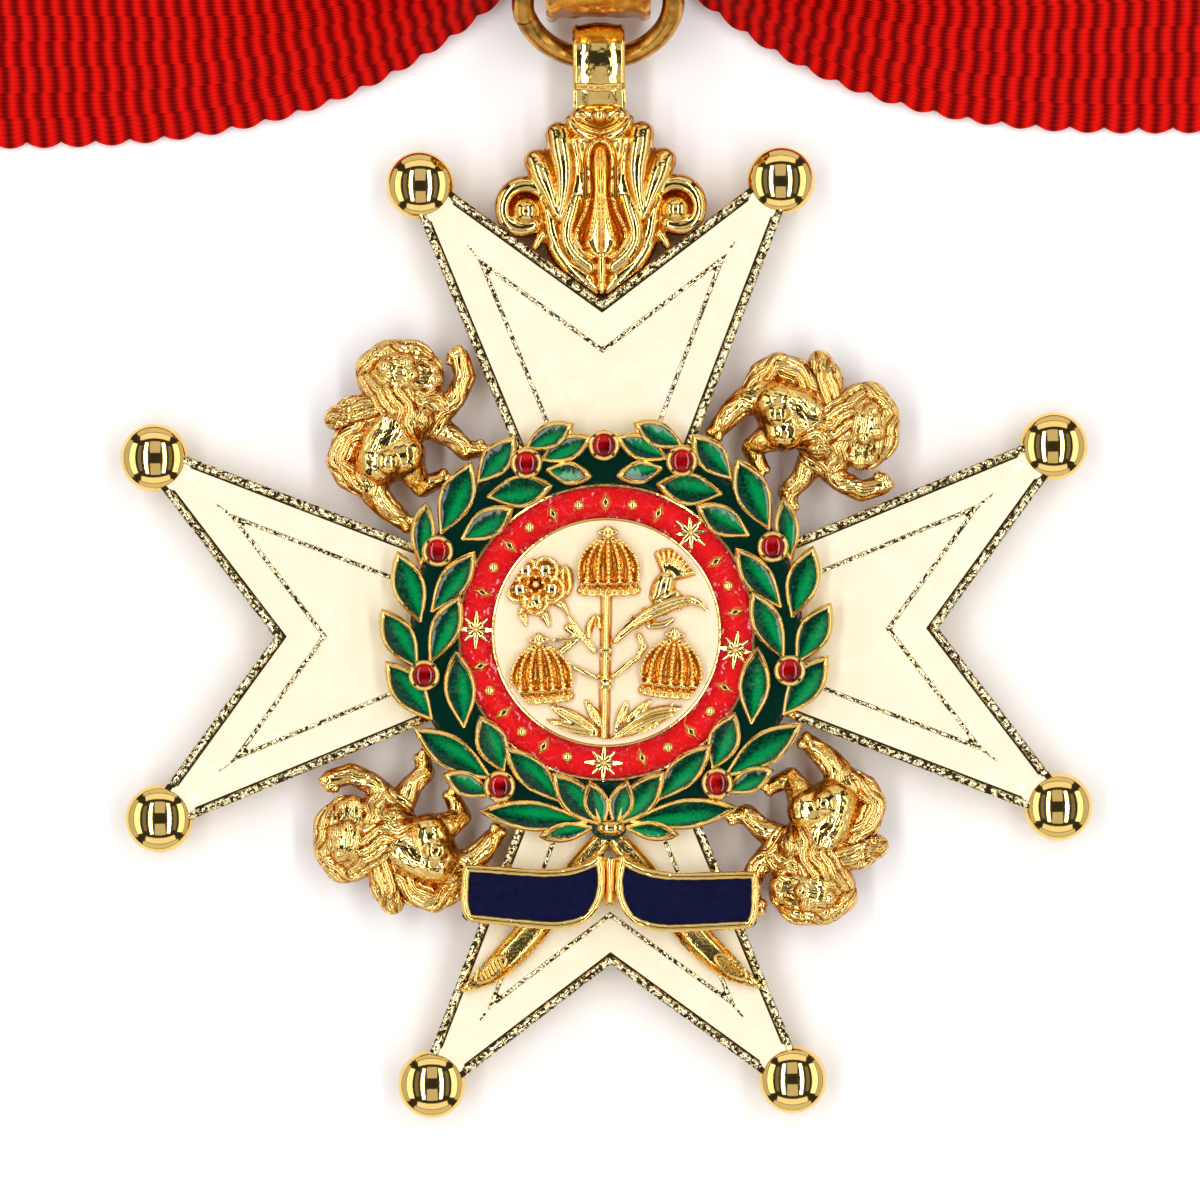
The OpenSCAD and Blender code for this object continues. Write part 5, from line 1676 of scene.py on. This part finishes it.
KEEPER_LOW = 41.1
KEEPER_W = 12.25
KEEPER_H = 11.0
KEEPER_L = 7.0
KEEPER_WALL = 0.6
KEEPER_SQUARE = 0.42
KEEPER_DENT = 0.16


def sleeve():
    """The keeper: a rounded sleeve with swollen, hammered rims."""
    def place(u, v):
        a = 2 * math.pi * u
        across = 2 * v - 1
        square = [math.copysign(abs(w) ** KEEPER_SQUARE, w) for w in (math.cos(a), math.sin(a))]
        swell = 0.3 * bump(abs(across), 0.9, 0.09) - 0.3
        x = across * KEEPER_L / 2
        dents = KEEPER_DENT * noise.noise(Vector((x * 0.9, square[0] * 5, square[1] * 5)))
        grow = 1 + (swell - 0.12 + dents) / (KEEPER_W / 2)
        return Vector((x, KEEPER_LOW + KEEPER_W / 2 + square[0] * grow * KEEPER_W / 2,
                       KEEPER_H / 2 + square[1] * min(grow, 1) * KEEPER_H / 2))
    return thickened(patch(160, 36, place), KEEPER_WALL - 0.2)


mount = relief(*MOUNT_ROOM, MOUNT_STEP, leaf_heights, LEAF_BACK)
join(mount, bail())
finished("cast_leaf", mount, cast_gold, ["leaf_mount"])
finished("ring", jump_ring(), old_brass, ["jump_ring"])
finished("sleeve", sleeve(), sleeve_gold, ["ribbon_keeper"])

# %% [markdown]
# The ribbon. It is woven with ribs that run from edge to edge, and where it is drawn into
# the sleeve the ribs open out like a fan, because its outer edges have farther to go.
# So the mesh is laid in rows along the ribs, and the place of each row is found thread by
# thread: every thread is walked from the sleeve to where the ribbon lies flat, and the
# same share of its own length is the same rib.

# %% Ribbon: the way it lies
RIBBON_W = 44.0
RIBBON_L = 500.0
RIBBON_T = 0.7
EDGE_LOW = 33.65  # front edge of the ribbon beside the badge
BUNDLE_MID = 48.35  # middle of the pleats in the sleeve
FLAT_MID = EDGE_LOW + RIBBON_W / 2
LOOP_W = 150.0
LOOP_RISE = RIBBON_L / 2 - LOOP_W
GATHER_W = 6.8
GATHER_REACH = 41.0
SLEEVE_REACH = KEEPER_L / 2 + 1
PLEATS = 4
PLEAT_H = 1.35
FAN_END = 52.0
RIB = 1.1
ROWS_IN_RIB = 5
RIB_H = 0.13
SCALLOP = 0.42
ACROSS = 52
LIFT = 0.5  # height of the cloth's middle where it lies on the table
LAYER = 1.2  # from layer to layer where it lies double
FOLD_ROOM = 12.0
CLASP_Z = 1.5
FLOOR_GAP = 0.02


def fade(x, power):
    """1 in the sleeve, 0 where the pleats end."""
    return min(1, max(0, (GATHER_REACH - x) / (GATHER_REACH - SLEEVE_REACH))) ** power


def gathered(x, t):
    """A point of the pleated stretch: t runs from the front edge to the back one."""
    front = EDGE_LOW + (BUNDLE_MID - GATHER_W / 2 - EDGE_LOW) * fade(x, 3)
    back = EDGE_LOW + RIBBON_W + (BUNDLE_MID + GATHER_W / 2 - EDGE_LOW - RIBBON_W) * fade(x, 2)
    rise = LIFT * (1 + 0.8 * fade(x, 2)) + (KEEPER_WALL + 0.1) * fade(x, 3)
    rise += PLEAT_H * fade(x, 1.5) * (1 - math.cos(2 * math.pi * PLEATS * t))
    return Vector((x, front + (back - front) * t, rise))


def thread_places(t, count):
    """Walks one thread and marks it in equal shares of its length."""
    steps = 260
    fine = [gathered(FAN_END * i / steps, t) for i in range(steps + 1)]
    length = sum((b - a).length for a, b in zip(fine, fine[1:]))
    return along(fine, (1 - 1e-6) * length / (count - 1))


def fold_rows(middle, over, out):
    """Rows of a fold that turns the ribbon over along a slanting line."""
    r = LAYER / 2
    return [(middle + out * (r * math.sin(a)), over, LIFT + r * (1 - math.cos(a)))
            for a in [math.pi * i / 8 for i in range(9)]]


def flat_rows():
    """Rows beyond the fan: middle of the row, direction and length across, height."""
    low, high = LIFT, LIFT + LAYER
    corner = Vector((LOOP_W / 2, FLAT_MID))
    corner_2 = corner + Vector((0, LOOP_RISE))
    w, h = RIBBON_W, RIBBON_W / 2
    up, side = Vector((0, w)), Vector((w, 0))
    rows = [(Vector((corner.x - h - 1, FLAT_MID)), up, low)]
    rows += fold_rows(corner, Vector((w, w)), Vector((1, -1)).normalized())
    rows += [(corner + Vector((0, h + 1)), side, high),
             (corner + Vector((0, h + FOLD_ROOM)), side, low),
             (corner_2 - Vector((0, h + 1)), side, low)]
    rows += fold_rows(corner_2, Vector((w, -w)), Vector((1, 1)).normalized())
    rows += [(corner_2 - Vector((h + 1, 0)), -up, high),
             (corner_2 - Vector((h + FOLD_ROOM, 0)), -up, low)]
    return rows + [(Vector((x, corner_2.y)), -up, z)
                   for x, z in ((11, low), (6.5, CLASP_Z), (1.7, CLASP_Z))]


# %% [markdown]
# One mesh carries the whole loop. It starts as a flat grid, as the ribbon was woven, and
# each of its points is then carried to where it lies. The woven place of each point is
# kept as a UV in millimetres, and the weave is drawn on that.

# %% Ribbon: the mesh
def ribbon_half_rows():
    """Rows of points from the sleeve's middle to the clasp, with the woven length of each."""
    fan_count = int(FAN_END / RIB) * ROWS_IN_RIB + 1
    threads = [thread_places(j / ACROSS, fan_count) for j in range(ACROSS + 1)]
    rows = [[thread[i] for thread in threads] for i in range(fan_count)]
    woven = [FAN_END * i / (fan_count - 1) for i in range(fan_count)]
    for middle, over, z in flat_rows():
        row = [Vector((*(middle + over * (j / ACROSS - 0.5)), z)) for j in range(ACROSS + 1)]
        last = rows[-1][ACROSS // 2]
        step = (row[ACROSS // 2] - last).length
        pieces = max(1, int(step / 6)) if len(rows) > fan_count else 1
        before = rows[-1]
        for k in range(1, pieces + 1):
            rows.append([a.lerp(b, k / pieces) for a, b in zip(before, row)])
            woven.append(woven[-1] + step / pieces)
    return rows, woven, fan_count


def ribbed(rows, woven, fan_count):
    """Raises the ribs on the fanned stretch and scallops its edges."""
    for i in range(fan_count):
        phase = (i % ROWS_IN_RIB) / ROWS_IN_RIB
        rib = RIB_H * (math.sin(math.pi * phase) - 0.5)
        pair = woven[i] / (2 * RIB) % 1
        bulge = SCALLOP * (abs(math.sin(math.pi * pair)) ** 0.8 - 0.35)
        for end, inward in ((0, 1), (ACROSS, -1)):
            edge, next_in = rows[i][end], rows[i][end + inward]
            out = (edge - next_in).normalized()
            rows[i][end] = edge + out * bulge
            rows[i][end + inward] = next_in + out * bulge * 0.6
        for j, point in enumerate(rows[i]):
            near_edge = min(j, ACROSS - j)
            point.z += rib * (1.0 if near_edge > 1 else 0.3) - (0.12 if near_edge == 0 else 0)
    return rows


def ribbon_mesh():
    """The whole ribbon as a sheet with thickness, and its woven coordinates."""
    rows, woven, fan_count = ribbon_half_rows()
    rows = ribbed(rows, woven, fan_count)
    both = [[Vector((-p.x, p.y, p.z)) for p in row] for row in reversed(rows[1:])] + rows
    length = [-w for w in reversed(woven[1:])] + woven
    part = bmesh.new()
    last = len(both) - 1
    bmesh.ops.create_grid(part, x_segments=last, y_segments=ACROSS, size=0.5, calc_uvs=True)
    weave = part.loops.layers.uv.verify()
    for corner in part.verts:
        i, j = round((corner.co.x + 0.5) * last), round((corner.co.y + 0.5) * ACROSS)
        for loop in corner.link_loops:
            loop[weave].uv = (length[i], RIBBON_W * j / ACROSS)
        corner.co = both[i][j]
    bmesh.ops.recalc_face_normals(part, faces=part.faces)
    bmesh.ops.solidify(part, geom=part.faces[:], thickness=RIBBON_T)
    for corner in part.verts:
        corner.co.z = max(corner.co.z, FLOOR_GAP)
    return part


THREAD = 0.29
JOG = 0.16
JOG_EVERY = 1.75


def ribbon_cloth():
    """Red silk: ribs in rows a little out of step, with a comb of thread ends on each rib; the crests are
    painted bright and the grooves painted dark, a painted highlight and shade.
    """
    material, tree, bsdf, _ = new_material("red_silk")
    uv = tree.nodes.new("ShaderNodeUVMap").outputs[0]
    parts = tree.nodes.new("ShaderNodeSeparateXYZ")
    tree.links.new(uv, parts.inputs[0])
    u, v = parts.outputs["X"], parts.outputs["Y"]
    step = math_node(tree, "FLOOR", math_node(tree, "DIVIDE", v, JOG_EVERY))
    jog = math_node(tree, "MULTIPLY", math_node(tree, "PINGPONG", step, 1.0), JOG)
    run = math_node(tree, "ADD", math_node(tree, "ADD", u, jog), 600 * RIB)
    phase = math_node(tree, "MODULO", run, RIB)
    rib = math_node(tree, "SINE", math_node(tree, "MULTIPLY", phase, math.pi / RIB))
    comb = math_node(tree, "SINE", math_node(tree, "MULTIPLY", v, 2 * math.pi / THREAD))
    top = math_node(tree, "POWER", math_node(tree, "MAXIMUM", rib, 0.0), 1.6)
    height = math_node(tree, "MULTIPLY_ADD", comb, 0.12, top)
    # Painted light: the same height that tilts the surface paints rib crests bright and the grooves between
    # them dark.
    colour = mixed(tree, height, (0.13, 0.0, 0.0, 1), (0.74, 0.005, 0.002, 1))
    tree.links.new(colour, bsdf.inputs["Base Color"])
    set_knobs(bsdf, {"Roughness": 0.6, "Specular IOR Level": 0.05})
    bumped(tree, bsdf, height, 1.0, 0.0002)
    return material


ribbon = finished("ribbon_silk", ribbon_mesh(), ribbon_cloth(), ["ribbon"])
print("red ribbon", RIBBON_W, "mm wide and", RIBBON_L, "mm long, laid in a loop")

# %% [markdown]
# The scene in the middle: three crowns, a rose, a thistle and a sceptre with leaves at its
# foot. It is one relief again, with rows of pearls set on the crowns' arches. A crown is
# drawn once and used three times, a little turned on the right and the left.

# %% Centre: the table of its ridges
# Joints are (right, up, half width, crest above the enamel), from the middle of the cross
SCEPTRE_RIDGES = [
    [(0.03, 2.4, 0.42, 0.34), (-0.25, -7.05, 0.42, 0.34)],
    [(0.03, 2.4, 0.24, 0.66), (-0.25, -7, 0.24, 0.66)],
    [(-0.32, -1.2, 0.24, 0.7), (0.2, -1.2, 0.24, 0.7)],
    [(-0.2, -1.75, 0.22, 0.62), (0.08, -1.75, 0.22, 0.62)],
    [(-0.34, -3.25, 0.2, 0.66), (0.18, -3.25, 0.2, 0.66)],
    [(-0.3, -3.65, 0.22, 0.7), (0.14, -3.65, 0.22, 0.7)],
    [(-0.75, -3.04, 0.2, 0.4), (-1.45, -2.68, 0.24, 0.46), (-2.16, -2.31, 0.2, 0.4)],
    [(0.57, -2.85, 0.2, 0.4), (1.39, -2.21, 0.24, 0.46), (2.2, -1.61, 0.2, 0.4)],
    [(-0.6, -2.95, 0.16, 0.3), (-0.2, -2.85, 0.16, 0.3)],
    [(0.6, -2.95, 0.16, 0.3), (0.1, -3, 0.16, 0.3)],
]
ROSE_MID = Vector((-4.72, 3.3))
ROSE_R = 2.05
ROSE_RIDGES = [
    [(-2.72, 4.15, 0.5, 0.55), (-2.6, 3.4, 0.52, 0.62), (-2.75, 2.7, 0.4, 0.5)],
    [(-5.05, 1.95, 0.4, 0.5), (-5.7, 1.5, 0.42, 0.5), (-5.4, 0.55, 0.14, 0.35)],
    [(-4.4, 1.7, 0.42, 0.5), (-4.1, 1.1, 0.38, 0.5), (-3.84, 0.45, 0.14, 0.35)],
    [(-3.6, 2.3, 0.45, 0.5), (-3, 2, 0.38, 0.55), (-2.65, 1.45, 0.2, 0.4)],
    [(-2.52, 1.08, 0.2, 0.5), (-1.72, -0.14, 0.22, 0.55), (-0.85, -1.22, 0.24, 0.5)],
    [(-1.2, -0.25, 0.14, 0.3), (-1.12, 0.5, 0.38, 0.42), (-0.62, 1.15, 0.3, 0.4), (-0.4, 0.3, 0.14, 0.3)],
    [(-3.6, -0.5, 0.14, 0.4), (-2.6, -0.42, 0.2, 0.5), (-1.55, -0.32, 0.14, 0.4)],
    [(-3, -1.2, 0.3, 0.42), (-2.1, -0.55, 0.2, 0.42)],
    [(-2.6, 0.35, 0.32, 0.42), (-1.95, -0.2, 0.2, 0.42)],
]
THISTLE_RIDGES = [
    [(3.5, 2.4, 0.66, 0.5), (3.85, 3, 0.86, 0.78), (4.05, 3.45, 0.66, 0.7)],
    [(3.75, 2.2, 0.4, 0.5), (4.75, 2.55, 0.3, 0.45)],
    [(0.6, -0.6, 0.24, 0.5), (1.5, 0.35, 0.36, 0.62), (2.55, 1.05, 0.48, 0.68), (3.8, 1.62, 0.5, 0.7),
     (5.3, 2.12, 0.42, 0.62), (6.2, 1.98, 0.3, 0.5), (6.8, 1.38, 0.1, 0.3)],
    [(2.2, -0.25, 0.27, 0.5), (2.38, -0.75, 0.24, 0.5)],
    [(2.9, 0.4, 0.26, 0.42), (3.85, 0.45, 0.3, 0.5), (4.46, 0.79, 0.2, 0.42)],
    [(2.2, -1.4, 0.22, 0.4), (2.6, -0.95, 0.22, 0.4)],
]
FOOT_RIDGES = [
    [(-0.8, -6.6, 0.22, 0.45), (-1.6, -6.15, 0.52, 0.6), (-2.6, -5.55, 0.56, 0.6), (-3.7, -4.97, 0.18, 0.3)],
    [(-0.8, -6.85, 0.2, 0.45), (-2.2, -6.5, 0.48, 0.58), (-3.2, -6.25, 0.5, 0.56), (-4.2, -5.95, 0.18, 0.3)],
    [(-0.55, -6.2, 0.2, 0.45), (-0.9, -5.5, 0.48, 0.58), (-1.42, -4.6, 0.16, 0.3)],
    [(0.1, -7.4, 0.2, 0.45), (1.35, -6.5, 0.46, 0.6), (2.66, -5.75, 0.6, 0.66), (4, -5.4, 0.58, 0.66),
     (5.2, -5.35, 0.3, 0.42)],
    [(0.45, -7.2, 0.18, 0.4), (1.85, -6.9, 0.42, 0.54), (2.9, -6.45, 0.48, 0.54), (3.45, -5.9, 0.26, 0.4)],
    [(0.6, -6.3, 0.2, 0.4), (1.05, -5.4, 0.42, 0.56), (1.3, -4.7, 0.16, 0.3)],
    [(1.3, -6, 0.2, 0.4), (2.1, -5.25, 0.4, 0.56), (2.87, -4.65, 0.18, 0.3)],
]
# Veins and hollows that are cut along some of them: half width, depth
CENTRE_GROOVES = [
    [(0.9, -0.3, 0.05, 0.1), (2.55, 1.05, 0.07, 0.16), (5.3, 2.12, 0.06, 0.14), (6.2, 1.95, 0.05, 0.1)],
    [(-1.1, -6.4, 0.1, 0.2), (-2.4, -5.7, 0.2, 0.26), (-3.4, -5.15, 0.08, 0.15)],
    [(-1.2, -6.72, 0.1, 0.2), (-2.6, -6.42, 0.18, 0.26), (-3.8, -6.05, 0.08, 0.15)],
    [(-0.7, -5.9, 0.08, 0.15), (-0.95, -5.4, 0.15, 0.22), (-1.3, -4.85, 0.06, 0.1)],
    [(0.6, -7, 0.05, 0.15), (1.9, -6.1, 0.08, 0.2), (3.3, -5.55, 0.1, 0.22), (4.9, -5.35, 0.05, 0.15)],
    [(0.9, -7.1, 0.06, 0.15), (2.2, -6.75, 0.12, 0.2), (3.2, -6.1, 0.06, 0.12)],
    [(0.75, -6, 0.06, 0.12), (1.2, -4.95, 0.1, 0.18)],
    [(1.5, -5.8, 0.06, 0.12), (2.5, -4.95, 0.1, 0.18)],
    [(-5.3, 1.75, 0.1, 0.2), (-5.6, 1.2, 0.14, 0.24)],
    [(-2.7, 4.1, 0.1, 0.25), (-2.62, 3, 0.12, 0.3)],
    [(-0.95, 0.15, 0.1, 0.2), (-0.7, 0.9, 0.14, 0.24)],
    [(-2.2, 0.55, 0.05, 0.2), (-1, -1, 0.05, 0.2)],
]
# Feet of the crowns and how far each is turned
CROWNS = [((0.2, 2.42), 0), ((-4.33, -4.75), 3), ((4.16, -4.5), -6)]
CROWN_HALF = 2.08
CROWN_H = 4.0
CROWN_FOOT = 1.02  # height at which the arches spring from the band
CROWN_ARCHES = (-0.97, -0.68, -0.35, 0.0, 0.35, 0.68, 0.97)
# Bands of a crown: half length as a share, height, sag, half width, crest
CROWN_BANDS = [(0.86, 0.34, 0.12, 0.4, 0.44), (0.9, 0.84, 0.1, 0.13, 0.6),
               (0.88, 0.07, 0.14, 0.11, 0.56)]
PEARL_R = 0.135


# %% [markdown]
# Teeth and strands are ridges too, so loops add them: the long leaf is toothed on both
# sides, the rose has five hollow petals round a seeded heart, and the thistle's tuft is
# a fan of strands.

# %% Centre: ridges made by loops
RELIEF_ROOM = ((-7.3, -7.7), (7.3, 7.7))
RELIEF_STEP = 0.06
RELIEF_IN = 0.42


def teeth(line, count, reach, lean=0.6):
    """Small slanting ridges on both sides of a leaf's middle line."""
    line = [Vector(p[:2]) for p in line]
    found = []
    for k in range(count):
        s = (k + 0.6) / count * (len(line) - 1)
        i = int(s)
        root = line[i].lerp(line[i + 1], s - i)
        ahead = (line[i + 1] - line[i]).normalized()
        for side in (1, -1):
            out = Vector((-ahead.y, ahead.x)) * side
            tip = root + (out + ahead * lean).normalized() * reach * (0.75 + 0.35 * ((k + side) % 2))
            found.append([(*root, 0.2, 0.5), (*tip, 0.08, 0.34)])
    return found


def petals():
    """Ridges round the rim of each petal, and the seeds of its heart."""
    found = []
    for k in range(5):
        a = math.radians(72 * k + 54)
        mid = ROSE_MID + Vector((math.cos(a), math.sin(a))) * 0.56 * ROSE_R
        found.append([(*mid, 0.5 * ROSE_R, 0.4)])
        rim = [mid + Vector((math.cos(a + t), math.sin(a + t))) * 0.4 * ROSE_R
               for t in [math.radians(d) for d in (-115, -75, -35, 0, 35, 75, 115)]]
        found.append([(*p, 0.17, 0.72 + 0.06 * math.sin(3 * k + 2 * i)) for i, p in enumerate(rim)])
        seed = ROSE_MID + Vector((math.cos(a + 0.6), math.sin(a + 0.6))) * 0.25 * ROSE_R
        found.append([(*seed, 0.18, 0.7)])
    found.append([(*ROSE_MID, 0.28, 0.82)])
    return found


def tuft():
    """Strands of the thistle's flower."""
    foot = Vector((4.15, 3.55))
    found = []
    for k in range(9):
        a = math.radians(110 - 12 * k)
        tip = foot + Vector((math.cos(a), math.sin(a))) * (1.85 - 0.004 * (k - 4) ** 2)
        found.append([(*foot.lerp(tip, 0.2), 0.3, 0.34), (*tip, 0.3, 0.34)])
        found.append([(*foot.lerp(tip, 0.3), 0.08, 0.46), (*tip, 0.15, 0.6)])
    return found


def on_crown(x, y, foot, degrees):
    """A place of an upright crown, carried to where one of the three stands."""
    return Vector(foot) + Matrix.Rotation(math.radians(degrees), 2) @ Vector((x, y))


def crown_point(share, up, foot, degrees):
    """A point on a crown's arch: share across, up from 0 at the band to 1 at the orb."""
    bow = math.cos(math.radians(90) * up) ** 0.46 * (1 + 0.1 * math.sin(math.pi * up))
    rise = CROWN_FOOT + (CROWN_H - CROWN_FOOT) * up ** 0.92
    return on_crown(share * CROWN_HALF * 0.97 * bow, rise, foot, degrees)


def crown_ridges(foot, degrees):
    """Cap, arches, band and knob of one crown."""
    def at(x, y):
        return on_crown(x, y, foot, degrees)

    def arch(share, up):
        return crown_point(share, up, foot, degrees)
    found = []
    for share in (-0.72, -0.36, 0, 0.36, 0.72):
        cap = 0.24 + 0.12 * (1 - share ** 2)
        found.append([(*arch(share, up), 0.5 * (1 - 0.5 * up), cap) for up in (0.0, 0.3, 0.6, 0.9)])
    for share in CROWN_ARCHES:
        found.append([(*arch(share, up), 0.11, 0.46 + 0.12 * math.sin(math.pi * up))
                      for up in (0.0, 0.2, 0.4, 0.6, 0.8, 0.97)])
    for end, middle, sag, half_w, crest in CROWN_BANDS:
        found.append([(*at(x * CROWN_HALF, middle + sag * x * x), half_w, crest)
                      for x in (-end, -0.45, 0, 0.45, end)])
    for k in range(5):
        x = (k - 2) * 0.36 * CROWN_HALF
        lift = 0.1 * (x / CROWN_HALF) ** 2
        hoop = [at(x + 0.24 * math.cos(a), 0.24 + lift + 0.36 * math.sin(a))
                for a in [math.radians(d) for d in (-10, 35, 70, 110, 145, 190)]]
        found.append([(*p, 0.085, 0.6) for p in hoop])
        found.append([(*at(x, 1.0), 0.13, 0.6), (*at(x, 1.5), 0.1, 0.66)])
        found.append([(*at(x - 0.17, 1.22), 0.09, 0.58), (*at(x + 0.17, 1.22), 0.09, 0.58)])
    found.append([(*at(0, CROWN_H + 0.1), 0.28, 0.7)])
    found.append([(*at(-0.52, CROWN_H + 0.32), 0.24, 0.55), (*at(0.52, CROWN_H + 0.32), 0.24, 0.55)])
    found.append([(*at(0, CROWN_H + 0.55), 0.32, 0.66)])
    return found


def centre_heights(x, y):
    """Heights of the relief over a grid of places, and where it has metal at all."""
    height = np.full_like(x, NO_METAL)
    for foot, degrees in CROWNS:
        for joints in crown_ridges(foot, degrees):
            height = raise_ridge(x, y, height, joints)
    rows = ROSE_RIDGES + petals() + THISTLE_RIDGES + tuft() + SCEPTRE_RIDGES + FOOT_RIDGES
    rows += teeth(THISTLE_RIDGES[2][1:5], 8, 0.62) + teeth(FOOT_RIDGES[3], 6, 0.62)
    for joints in rows:
        height = raise_ridge(x, y, height, joints)
    for joints in CENTRE_GROOVES:
        height = cut_groove(x, y, height, joints)
    return height + FIELD_TOP, (height > NO_METAL / 2) & (np.hypot(x, y) < CENTRE_R - RELIEF_IN)


def crown_pearls():
    """Rows of pearls along the arches of the three crowns."""
    piece = bmesh.new()
    for foot, degrees in CROWNS:
        for share in CROWN_ARCHES:
            row = []
            for up in [i / 24 for i in range(25)]:
                z = FIELD_TOP + 0.6 + 0.12 * math.sin(math.pi * up)
                row.append(Vector((*crown_point(share, 0.97 * up, foot, degrees), z)))
            for p in along(row, 2.1 * PEARL_R)[1:-1]:
                join(piece, pearl(p, PEARL_R))
    return piece


EMBLEM_NODES = ["crown_top", "crown_left", "crown_right", "rose_spray", "thistle_spray", "sceptre",
                "leaf_spray_left", "leaf_spray_right"]
emblem_gold = gilt("emblem_gold", (0.95, 0.69, 0.25), (0.64, 0.28, 0.045), 0.09, 0.28, grain=3500,
                   depth=1e-5, patchy=0.25)
emblem = relief(*RELIEF_ROOM, RELIEF_STEP, centre_heights, FIELD_TOP)
finished("centre_relief", emblem, emblem_gold, EMBLEM_NODES)
finished("crown_pearls", crown_pearls(), emblem_gold)

# %% [markdown]
# The studio. Polished metal shows the room it is in and little else, so the room is built
# as a light tent: four walls of cloth that glow softly, a lid over the badge with a hole
# for the camera, and two bright strips in the lid. Where the cloths don't meet there are
# black gaps, and those draw the dark lines that make gold look like gold.

# %% Floor and lights
LID_Z = 0.5  # in metres, as the rest of the studio
STRIP_GLOW = 8.0
WALL_GLOW = 0.85
LID_GLOW = 0.65


def pale_floor():
    """A wide plain table, which isn't part of the badge."""
    mesh = bpy.data.meshes.new("floor")
    plane = bmesh.new()
    bmesh.ops.create_grid(plane, x_segments=1, y_segments=1, size=1.5)
    plane.to_mesh(mesh)
    plane.free()
    material, _, bsdf, _ = new_material("pale_table")
    set_knobs(bsdf, {"Base Color": (0.95, 0.94, 0.935, 1), "Roughness": 0.75,
                     "Specular IOR Level": 0.2})
    mesh.materials.append(material)
    in_scene("floor", mesh)


def panel(name, place, target, width, height, watts):
    """A soft rectangular light that faces a point."""
    data = bpy.data.lights.new(name, "AREA")
    data.shape = "RECTANGLE"
    data.size, data.size_y = width, height
    data.energy = watts
    light = in_scene(name, data)
    light.location = place
    light.rotation_euler = (target - place).to_track_quat("-Z", "Y").to_euler()
    light.visible_camera = False


def tent():
    """Walls, lid and strips round the badge. Glow is how bright each cloth looks."""
    middle = Vector((0, BADGE_Y, 0))

    def cloth(name, x, y, z, width, height, tone_and_painted_light):
        watts = tone_and_painted_light * math.pi * width * height
        panel(name, middle + Vector((x, y, z)), middle, width, height, watts)
    for name, side in (("left", -1), ("right", 1)):
        cloth(name + "_strip", side * 0.225, 0, LID_Z, 0.86, 0.078, STRIP_GLOW)
        cloth(name + "_lid_side", side * 0.4, 0, 0.48, 0.7, 0.1, 0.3 * LID_GLOW)
        cloth(name + "_wall_high", side * 0.6, 0, 0.36, 0.9, 0.2, 2.1 * WALL_GLOW)
        cloth(name + "_wall_low", side * 0.66, 0, 0.14, 1.0, 0.22, 0.75 * WALL_GLOW)
    for name, side in (("front", -1), ("back", 1)):
        cloth(name + "_wall_high", 0, side * 0.6, 0.36, 0.9, 0.2, 1.3 * WALL_GLOW)
        cloth(name + "_wall_low", 0, side * 0.66, 0.14, 1.0, 0.22, 0.9 * WALL_GLOW)
        cloth(name + "_lid", 0, side * 0.27, LID_Z, 0.26, 0.3, LID_GLOW)


pale_floor()
tent()
world = bpy.data.worlds.new("dark_room")
world.use_nodes = True
set_knobs(world.node_tree.nodes["Background"], {"Color": (1.0, 0.97, 0.94, 1), "Strength": 0.04})
bpy.context.scene.world = world
bpy.context.scene.view_settings.view_transform = "Standard"

# %% [markdown]
# The camera looks straight down, as the photograph does, from far enough away that the
# high pieces hardly lean. The picture is so wide that the ribbon runs out of it on both
# sides.

# %% Camera
VIEW_MID = (-0.403, 2.193)  # of the picture, from the middle of the cross in millimetres
VIEW_WIDTH = 81.0
CAMERA_HIGH = 450.0
BADGE_TILT = -0.75
SENSOR = 36
camera_data = bpy.data.cameras.new("camera")
camera_data.sensor_width = SENSOR
camera_data.lens = SENSOR * (CAMERA_HIGH - PLATE_TOP) / VIEW_WIDTH
camera_data.clip_start = 0.01
camera_data.clip_end = 10
camera = in_scene("camera", camera_data)
camera.location = PLACE @ Vector((*VIEW_MID, CAMERA_HIGH))
camera.rotation_euler = (0, 0, math.radians(BADGE_TILT))
bpy.context.scene.camera = camera
print("picture:", VIEW_WIDTH, "mm wide, seen from", CAMERA_HIGH, "mm")
